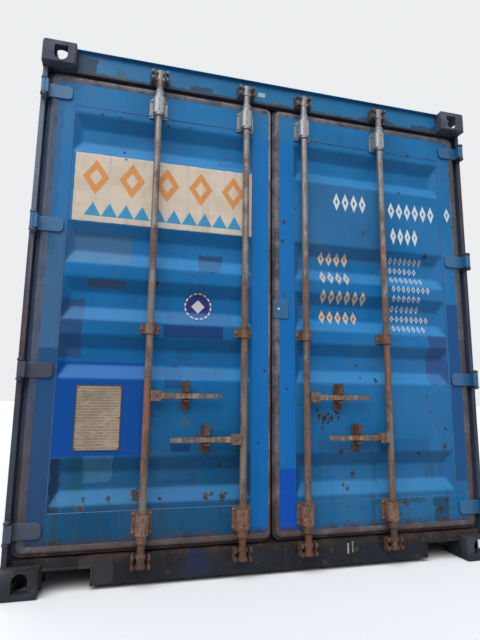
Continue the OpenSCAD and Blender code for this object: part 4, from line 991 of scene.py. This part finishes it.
def makeBoards():  # floor boards laid in columns and rows
    given, out = newGrower("boardFloor", {
        "Width": 2.4, "Length": 5.7, "Thickness": 0.028, "Gap": 0.003, "Columns": 2, "Rows": 3})
    across, along = given["Width"] / given["Columns"], given["Length"] / given["Rows"]
    points = gridOf(given, given["Width"] - across, given["Length"] - along)
    size = joined(across - given["Gap"], along - given["Gap"], given["Thickness"])
    plank = feed("GeometryNodeMeshCube", {"Size": size, "Vertices X": 2, "Vertices Y": 12}).outputs["Mesh"]
    return grown(given, out, feed("GeometryNodeInstanceOnPoints", {"Points": points, "Instance": plank}))


def makeSaddles():  # a hollowed forging over the bar, one on each point, upright
    given, out = newGrower("guideBodies", {
        "Geometry": None, "Width": 0.060, "Depth": 0.058, "Corner": 0.021, "Height": 0.092})
    inputs = {"Width": given["Width"], "Height": given["Depth"]}
    outline = feed("GeometryNodeCurvePrimitiveQuadrilateral", inputs)
    inputs = {"Curve": outline.outputs[0], "Radius": given["Corner"], "Count": 7, "Limit Radius": True}
    rounded = feed("GeometryNodeFilletCurve", inputs, mode="POLY")
    path = feed("GeometryNodeCurvePrimitiveLine", {"End": joined(None, None, given["Height"])}).outputs[0]
    fine = feed("GeometryNodeResampleCurve", {"Curve": path, "Count": 15})
    factor = source(given, "GeometryNodeSplineParameter")["Factor"]
    ends = clamped(lesser(factor, 1.0 - factor) * 8.0)
    body = swept(fine, 0.84 + maths("SQRT", ends) * 0.16, rounded)
    return grown(given, out, onPoints(given, body.outputs[0]))


def grow(name, tree, values, matrix=None, points=(), edges=()):
    seed = bpy.data.meshes.new(name + "Seed")
    seed.from_pydata([tuple(point) for point in points], edges, [])
    maker = bpy.data.objects.new(name + "Maker", seed)
    scene.collection.objects.link(maker)
    modifier = maker.modifiers.new("grow", "NODES")
    modifier.node_group = tree
    for item in tree.interface.items_tree:
        if item.in_out == "INPUT" and item.name in values:
            modifier[item.identifier] = values[item.name]
    maker.update_tag()
    bpy.context.view_layer.update()
    mesh = bpy.data.meshes.new_from_object(maker.evaluated_get(bpy.context.evaluated_depsgraph_get()))
    mesh.name = name
    bpy.data.objects.remove(maker)
    if matrix is not None:
        mesh.transform(matrix)
        if matrix.determinant() < 0:
            mesh.flip_normals()
    return mesh


panelTree = makePressedPanel()
sheetTree = makeFoldedSheet()
headTree = makeHeads()
beadTree = makeBead()
boardTree = makeBoards()
saddleTree = makeSaddles()
east, north, zenith = Vector((1, 0, 0)), Vector((0, 1, 0)), Vector((0, 0, 1))


def basis(right, up, outward, origin):  # the matrix that puts local X, Y and Z along these directions
    return Matrix.Translation(origin) @ Matrix((right, up, outward)).transposed().to_4x4()


def growFor(node, tree, values, place):
    mesh = grow(camel(node), tree, {**values, "Finish": finishFor(node)}, place)
    if tree is not boardTree:
        mesh.shade_smooth()
    return mesh


def addGrown(name, tree, body, slot, finish, points, edges=(), **values):
    addPiece(name, grow(name, tree, {**values, "Finish": finish}, None, points, edges), body, slot, finish)


sheetThickness = 0.002
doorPanel = {"Depth": 0.034, "Pan Height": 0.211, "Slope": 0.068, "End Slope": 0.038, "Near": 0.277,
             "Dent": 0.004, "Columns": 110, "Rows": 262, "fromEnd": 0.272}


def buildDoorPanel(side, seed):
    node = side + "_door_panel"
    low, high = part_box(node)
    frameLow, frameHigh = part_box(side + "_door_frame")
    middle = (low + high) / 2
    values = {**doorPanel, "Width": high.x - low.x, "Height": high.z - low.z, "Seed": seed,
              "Far": (frameHigh.z - frameLow.z) / 2 - doorPanel["fromEnd"],
              "Middle": (frameLow.z + frameHigh.z) / 2 - middle.z}
    place = basis(east, zenith, -north, (middle.x, low.y, middle.z))
    dress(node, growFor(node, panelTree, values, place), sheetThickness)


buildDoorPanel("left", 3)
buildDoorPanel("right", 8)
print("door panels pressed")

sideWall = {"Flat": 0.072, "Recess": 0.072, "Slope": 0.068, "Depth": 0.036, "Dent": 0.006, "Columns": 571,
            "Rows": 22}
endWall = {"Flat": 0.110, "Recess": 0.110, "Slope": 0.018, "Depth": 0.044, "Dent": 0.004, "Columns": 281,
           "Rows": 22}


def buildWall(node, settings, along, outward, seed):
    low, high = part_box(node)
    length = abs((high - low).dot(along))
    pitch = 2 * (settings["Flat"] + settings["Slope"])
    count = math.floor((length - settings["Flat"]) / pitch)
    values = {**settings, "Length": length, "Height": high.z - low.z, "Seed": seed, "Count": count,
              "Start": (length - count * pitch + settings["Flat"]) / 2}
    face = (low + high) / 2 + outward * abs((high - low).dot(outward)) / 2
    mesh = growFor(node, sheetTree, values, basis(along, zenith, outward, face))
    dress(node, mesh, sheetThickness)


buildWall("right_side_wall", sideWall, north, east, 5)
buildWall("left_side_wall", sideWall, -north, -east, 6)
buildWall("front_wall", endWall, -east, north, 7)

roofSheet = {"Depth": 0.020, "End Slope": 0.03, "Margin": 0.065, "Dent": 0.008, "Seed": 9, "Rows": 42,
             "Count": 27, "panShare": 0.56, "slopeShare": 0.11, "stepsPerPan": 14}


def buildRoof():
    low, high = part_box("roof")
    railLow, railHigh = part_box("top_side_rails")
    length = railHigh.y - railLow.y
    pitch = length / roofSheet["Count"]
    flat = pitch * (1 - roofSheet["panShare"])
    values = {**roofSheet, "Length": length, "Height": high.x - low.x, "Flat": flat, "Start": flat / 2,
              "Recess": pitch * (roofSheet["panShare"] - 2 * roofSheet["slopeShare"]),
              "Slope": pitch * roofSheet["slopeShare"],
              "Columns": roofSheet["Count"] * roofSheet["stepsPerPan"] + 1}
    place = basis(north, -east, zenith, (0, (railLow.y + railHigh.y) / 2, high.z))
    mesh = growFor("roof", sheetTree, values, place)
    form = bmesh.new()
    form.from_mesh(mesh)
    left, right = [corner.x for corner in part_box("front_header")]
    corners = [(left, railHigh.y), (right, railHigh.y), (right, high.y), (left, high.y)]
    form.faces.new([form.verts.new((x, y, high.z)) for x, y in corners])
    form.to_mesh(mesh)
    form.free()
    dress("roof", mesh, sheetThickness)


buildRoof()
print("walls and roof folded")

floorBoards = {"Columns": 2, "Rows": 3, "Gap": 0.003}
floorScrews = {"first": 0.14, "step": 0.28, "rows": 20, "side": 0.06, "columns": 14, "clear": 0.1,
               "radius": 0.006}


def buildFloor():
    low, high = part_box("floor")
    length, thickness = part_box("top_side_rails")[1].y - low.y, high.z - low.z
    middle = Vector(((low.x + high.x) / 2, low.y + length / 2, (low.z + high.z) / 2))
    values = {**floorBoards, "Width": high.x - low.x, "Length": length, "Thickness": thickness}
    mesh = growFor("floor", boardTree, values, Matrix.Translation(middle))
    form = bmesh.new()
    form.from_mesh(mesh)
    front = Matrix.Translation((0, (low.y + length + high.y) / 2, middle.z))
    size = Matrix.Diagonal((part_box("front_header")[1].x * 2, high.y - low.y - length, thickness, 1))
    bmesh.ops.create_cube(form, size=1.0, matrix=front @ size)
    form.to_mesh(mesh)
    form.free()
    dress("floor", mesh)
    spread = (high.x - low.x - 2 * floorScrews["side"]) / (floorScrews["columns"] - 1)
    lines = [low.y + floorScrews["first"] + row * floorScrews["step"] for row in range(floorScrews["rows"])]
    points = [(low.x + floorScrews["side"] + column * spread, y, high.z) for y in lines
              for column in range(floorScrews["columns"]) if y < high.y - floorScrews["clear"]]
    addGrown("floorScrews", headTree, "frame", "handle_steel", boltFinish, points,
             Radius=floorScrews["radius"], Rise=0.2, Facing=(0.0, 0.0, 0.0), Steps=8)


buildFloor()
print("floor laid")

# seals

seal = {"corner": 0.030, "inner": 0.014, "cornerSteps": 10}
# Across from the steel's edge to the rim as a share, and depth behind the castings in metres
sealProfile = [(-0.22, 0.0618), (-0.18, 0.0606), (-0.02, 0.0602), (0.10, 0.0590), (0.28, 0.0578),
               (0.46, 0.0588), (0.58, 0.0640), (0.66, 0.0745), (0.78, 0.0785), (0.90, 0.0745), (0.98, 0.0770),
               (1.0, 0.0840),
               (0.97, 0.0960), (0.86, 0.1080), (0.6, 0.112), (0.02, 0.112), (0.02, 0.0640)]


def roundedLoop(left, right, bottom, top, radius, steps):
    points = []
    corners = ((right - radius, top - radius), (left + radius, top - radius),
               (left + radius, bottom + radius), (right - radius, bottom + radius))
    for quarter, (x, z) in enumerate(corners):
        for step in range(steps + 1):
            angle = math.pi / 2 * (quarter + step / steps)
            points.append((x + radius * math.cos(angle), z + radius * math.sin(angle)))
    return points


def buildSeal(side):
    node = side + "_door_gasket"
    rimLow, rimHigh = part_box(node)
    steelLow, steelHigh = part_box(side + "_door_frame")
    form = bmesh.new()
    rings = []
    for share, depth in sealProfile:
        left, bottom = [steel + (rim - steel) * share for steel, rim in zip(steelLow.xz, rimLow.xz)]
        right, top = [steel + (rim - steel) * share for steel, rim in zip(steelHigh.xz, rimHigh.xz)]
        radius = seal["inner"] + seal["corner"] * max(share, 0)
        loop = roundedLoop(left, right, bottom, top, radius, seal["cornerSteps"])
        rings.append([form.verts.new((x, cadLow.y + depth, z)) for x, z in loop])
    for ring, other in zip(rings, rings[1:] + rings[:1]):
        for step, vert in enumerate(ring):
            after = (step + 1) % len(ring)
            form.faces.new((vert, other[step], other[after], ring[after]))
    bmesh.ops.recalc_face_normals(form, faces=form.faces)
    dress(node, meshOf(form, camel(node), 60))


for side in ("left", "right"):
    buildSeal(side)
print("seals laid")

# rivets, pins and welds of the door gear

barNames = ("left_outer", "left_inner", "right_inner", "right_outer")
guideRivets = {"across": 0.0385, "up": 0.040, "radius": 0.0075, "plate": 0.006}
guidePlates = {"fromTop": 0.088, "fromBottom": 0.085, "middle": -0.1385}
guideBody = {"width": 0.060, "front": 0.0022, "back": 0.060, "corner": 0.021, "height": 0.092}
guidePins = {"radius": 0.004, "up": 0.026, "sunk": 0.0004}


def barCentre(name):  # the middle of a bar's lower end, clear of its hub
    corners = [vertex.co for vertex in cadNodes[name + "_bar"].data.vertices]
    floorLevel = min(corner.z for corner in corners)
    xs = [corner.x for corner in corners if corner.z < floorLevel + 0.0015]
    return (min(xs) + max(xs)) / 2


def buildGuides(side):
    low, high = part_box(side + "_door_frame")
    face, front = low.y - guideRivets["plate"], cadLow.y + guideBody["front"]
    middle = cadLow.y + (guideBody["front"] + guideBody["back"]) / 2
    heads, pins, bodies = [], [], []
    for bar in ("_outer", "_inner"):
        x = barCentre(side + bar)
        rivetsAt = [x + across * guideRivets["across"] for across in (-1, 1)]
        for z in (high.z - guidePlates["fromTop"], low.z + guidePlates["fromBottom"]):
            heads += [(at, face, z + up * guideRivets["up"]) for at in rivetsAt for up in (-1, 1)]
            pins += [(x, front + guidePins["sunk"], z + up * guidePins["up"]) for up in (-1, 1)]
            bodies.append((x, middle, z - guideBody["height"] / 2))
        heads += [(at, face, (low.z + high.z) / 2 + guidePlates["middle"]) for at in rivetsAt]
    place = (side + "_door", "bracket_steel")
    addGrown(side + "GuideRivets", headTree, *place, boltFinish, heads, Radius=guideRivets["radius"],
             Rise=0.6, Steps=12, Seed=2)
    addGrown(side + "GuidePins", headTree, *place, holeFinish, pins, Radius=guidePins["radius"], Rise=0.2,
             Steps=10, Seed=3)
    values = {"Width": guideBody["width"], "Depth": guideBody["back"] - guideBody["front"],
              "Corner": guideBody["corner"], "Height": guideBody["height"],
              "Finish": finishes["bracket_steel"]}
    mesh = grow(side + "GuideBodies", saddleTree, values, None, bodies)
    mesh.shade_smooth()
    mesh.set_sharp_from_angle(angle=math.radians(50))
    addPiece(side + "GuideBodies", mesh, *place, values["Finish"])


for side in ("left", "right"):
    buildGuides(side)

beads = {"panel": 0.006, "frame": 0.009, "step": 0.009, "lumps": 0.4}
frameWelds = {"proud": 0.004, "foot": 0.01, "casting": 0.162, "end": 0.004, "keeper": 0.045,
              "lower": (0.081, 0.143), "upper": (0.035, 0.097)}


def buildPanelSeam(side):
    low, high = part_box(side + "_door_panel")
    corners = ((low.x, low.z), (high.x, low.z), (high.x, high.z), (low.x, high.z))
    addGrown(side + "PanelSeam", beadTree, side + "_door", "door_paint", seamFinish,
             [(x, low.y + 0.0005, z) for x, z in corners], [(0, 1), (1, 2), (2, 3), (3, 0)],
             Width=beads["panel"], Step=beads["step"], Lumps=beads["lumps"])


def buildFrameWelds():  # beside the castings and along the sides of the keepers
    header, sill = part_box("door_header"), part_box("door_sill")
    lower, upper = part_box("bottom_corner_castings")[1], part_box("top_corner_castings")[0]
    inner, outer = lower.x - frameWelds["casting"], lower.x - frameWelds["end"]
    lines = []
    for sign in (-1, 1):
        lines += [(sign * inner, sill[0].z + frameWelds["foot"], sign * inner, lower.z),
                  (sign * inner, upper.z, sign * inner, header[1].z),
                  (sign * inner, lower.z, sign * outer, lower.z),
                  (sign * inner, upper.z, sign * outer, upper.z)]
    for name in barNames:
        for low, high in ([header[0].z + level for level in frameWelds["upper"]], frameWelds["lower"]):
            sides = [barCentre(name) + sign * frameWelds["keeper"] for sign in (-1, 1)]
            lines += [(x, low, x, high) for x in sides]
    face = sill[0].y + frameWelds["proud"]
    points = [(x, face, z) for line in lines for x, z in (line[:2], line[2:])]
    edges = [(start, start + 1) for start in range(0, len(points), 2)]
    addGrown("frameWelds", beadTree, "frame", "sill_paint", finishes["sill_paint"], points, edges,
             Width=beads["frame"], Step=beads["step"], Lumps=beads["lumps"])


for side in ("left", "right"):
    buildPanelSeam(side)
buildFrameWelds()

# Where the bolts of the handles are: along the handle, from the front, and up or down from it
handleGear = {"rivet": 0.041, "rivetFront": 0.0032, "retainer": 0.185, "boltFront": 0.0560, "boltDrop": 0.052,
              "catchBolt": 0.060, "plateBolt": 0.030}


def buildHandleGear():
    for name in barNames:
        low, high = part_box(name + "_handle")
        x, level = barCentre(name), (low.z + high.z) / 2
        towards = 1 if (low.x + high.x) / 2 > x else -1
        at = x + towards * handleGear["retainer"]
        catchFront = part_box(name + "_catch")[0].y
        hub = (x + towards * handleGear["rivet"], cadLow.y + handleGear["rivetFront"], level)
        bolt = (at, cadLow.y + handleGear["boltFront"], level - handleGear["boltDrop"])
        pivot = (at, catchFront, level + handleGear["catchBolt"])
        heads = (("HubRivet", bodyOf[name + "_bar"], "handle_steel", hub, 0.008, 0.4, 12),
                 ("RetainerBolt", name.split("_")[0] + "_door", "bracket_steel", bolt, 0.0085, 0.7, 6),
                 ("CatchBolt", bodyOf[name + "_catch"], "handle_steel", pivot, 0.0075, 0.11, 10))
        for kind, body, slot, point, radius, rise, steps in heads:
            addGrown(camel(name) + kind, headTree, body, slot, darkFinish, [point], Radius=radius, Rise=rise,
                     Steps=steps)


def buildOverlapBolt():
    low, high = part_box("overlap_plate")
    middle = (low.x + handleGear["plateBolt"], low.y, (low.z + high.z) / 2)
    addGrown("overlapBolt", headTree, "right_door", "bracket_steel", brightFinish, [middle], Radius=0.008,
             Rise=0.5, Steps=12)


plateRivets = {"inset": 0.010, "radius": 0.005}


def buildDataPlateRivets():
    low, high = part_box("data_plate")
    inset = plateRivets["inset"]
    points = [(x, low.y, z) for x in (low.x + inset, high.x - inset)
              for z in (low.z + inset, (low.z + high.z) / 2, high.z - inset)]
    addGrown("dataPlateRivets", headTree, "left_door", "handle_steel", boltFinish, points,
             Radius=plateRivets["radius"])


buildHandleGear()
buildOverlapBolt()
buildDataPlateRivets()
print("rivets and welds set")

# stage, light and camera

cameraSettings = {"place": (-0.7870, -5.2978, 0.8426), "pitch": 0.161, "roll": -0.011, "yaw": -0.254,
                  "lens": 26.68, "sensor": 36}
lights = {
    "key": {"energy": 2.9, "angle": 55, "turn": (37, 0, -34), "colour": (1.0, 0.99, 0.97)},
    "fill": {"energy": 0.3, "angle": 80, "turn": (70, 0, 40), "colour": (0.94, 0.97, 1.0)},
    "back": {"energy": 0.9, "angle": 60, "turn": (-48, 0, 20), "colour": (1.0, 1.0, 1.0)},
}
studio = {"sky": (0.80, 0.86, 0.95, 1), "horizon": (0.30, 0.31, 0.33, 1), "strength": 0.62,
          "shown": paint(236, 238, 240), "floor": paint(230, 231, 233), "floorLight": 0.34, "floorRadius": 60}


def buildCamera():
    data = bpy.data.cameras.new("camera")
    data.lens = cameraSettings["lens"]
    data.sensor_width = cameraSettings["sensor"]
    camera = bpy.data.objects.new("camera", data)
    turn = Matrix.Rotation(cameraSettings["yaw"], 3, "Z") @ Matrix.Rotation(cameraSettings["pitch"], 3, "X")
    turn = turn @ Matrix.Rotation(cameraSettings["roll"], 3, "Y")
    columns = [turn.col[0], turn.col[2], -turn.col[1]]
    camera.matrix_world = Matrix.Translation(cameraSettings["place"]) @ Matrix(columns).transposed().to_4x4()
    scene.collection.objects.link(camera)
    scene.camera = camera


def seenStraight(tree):  # 1 for rays from the camera, mirrored ones and those let through
    path = addNode(tree, "ShaderNodeLightPath").outputs
    return greater(greater(path["Is Camera Ray"], path["Is Glossy Ray"]), path["Is Transmission Ray"])


def buildStage():
    form = bmesh.new()
    bmesh.ops.create_circle(form, cap_ends=True, radius=studio["floorRadius"], segments=96)
    mesh = bpy.data.meshes.new("ground")
    form.to_mesh(mesh)
    form.free()
    material, vector = newFinish("groundFinish")
    pale = mixColour(noise(vector, 0.6, 3.0), paint(226, 227, 229), studio["floor"])
    dim = mixColour(1.0, pale, [studio["floorLight"]] * 3 + [1.0], "MULTIPLY")
    seen = seenStraight(material.node_tree)  # the floor throws little light up on the doors
    mesh.materials.append(finished(material, mixColour(seen, dim, pale), 0.9))
    ground = bpy.data.objects.new("ground", mesh)
    scene.collection.objects.link(ground)


def buildLight():
    for name, settings in lights.items():
        data = bpy.data.lights.new(name, "SUN")
        data.energy = settings["energy"]
        data.angle = math.radians(settings["angle"])
        data.color = settings["colour"]
        lamp = bpy.data.objects.new(name, data)
        lamp.rotation_euler = Euler([math.radians(value) for value in settings["turn"]])
        scene.collection.objects.link(lamp)
    world = bpy.data.worlds.new("studio")
    world.use_nodes = True
    tree = world.node_tree
    tree.nodes.clear()
    height = axes(addNode(tree, "ShaderNodeTexCoord").outputs["Generated"])[2]
    sky = mixColour(stepUp(height, -0.25, 0.8), studio["horizon"], studio["sky"])
    lighting = addNode(tree, "ShaderNodeBackground", {"Color": sky, "Strength": studio["strength"]})
    shown = addNode(tree, "ShaderNodeBackground", {"Color": studio["shown"], "Strength": 1.0})
    both = feed("ShaderNodeMixShader", {0: seenStraight(tree), 1: lighting.outputs[0], 2: shown.outputs[0]})
    addNode(tree, "ShaderNodeOutputWorld", {0: both.outputs[0]})
    scene.world = world


buildCamera()
buildStage()
buildLight()
scene.view_settings.view_transform = "Standard"
print("stage, lights and camera set")
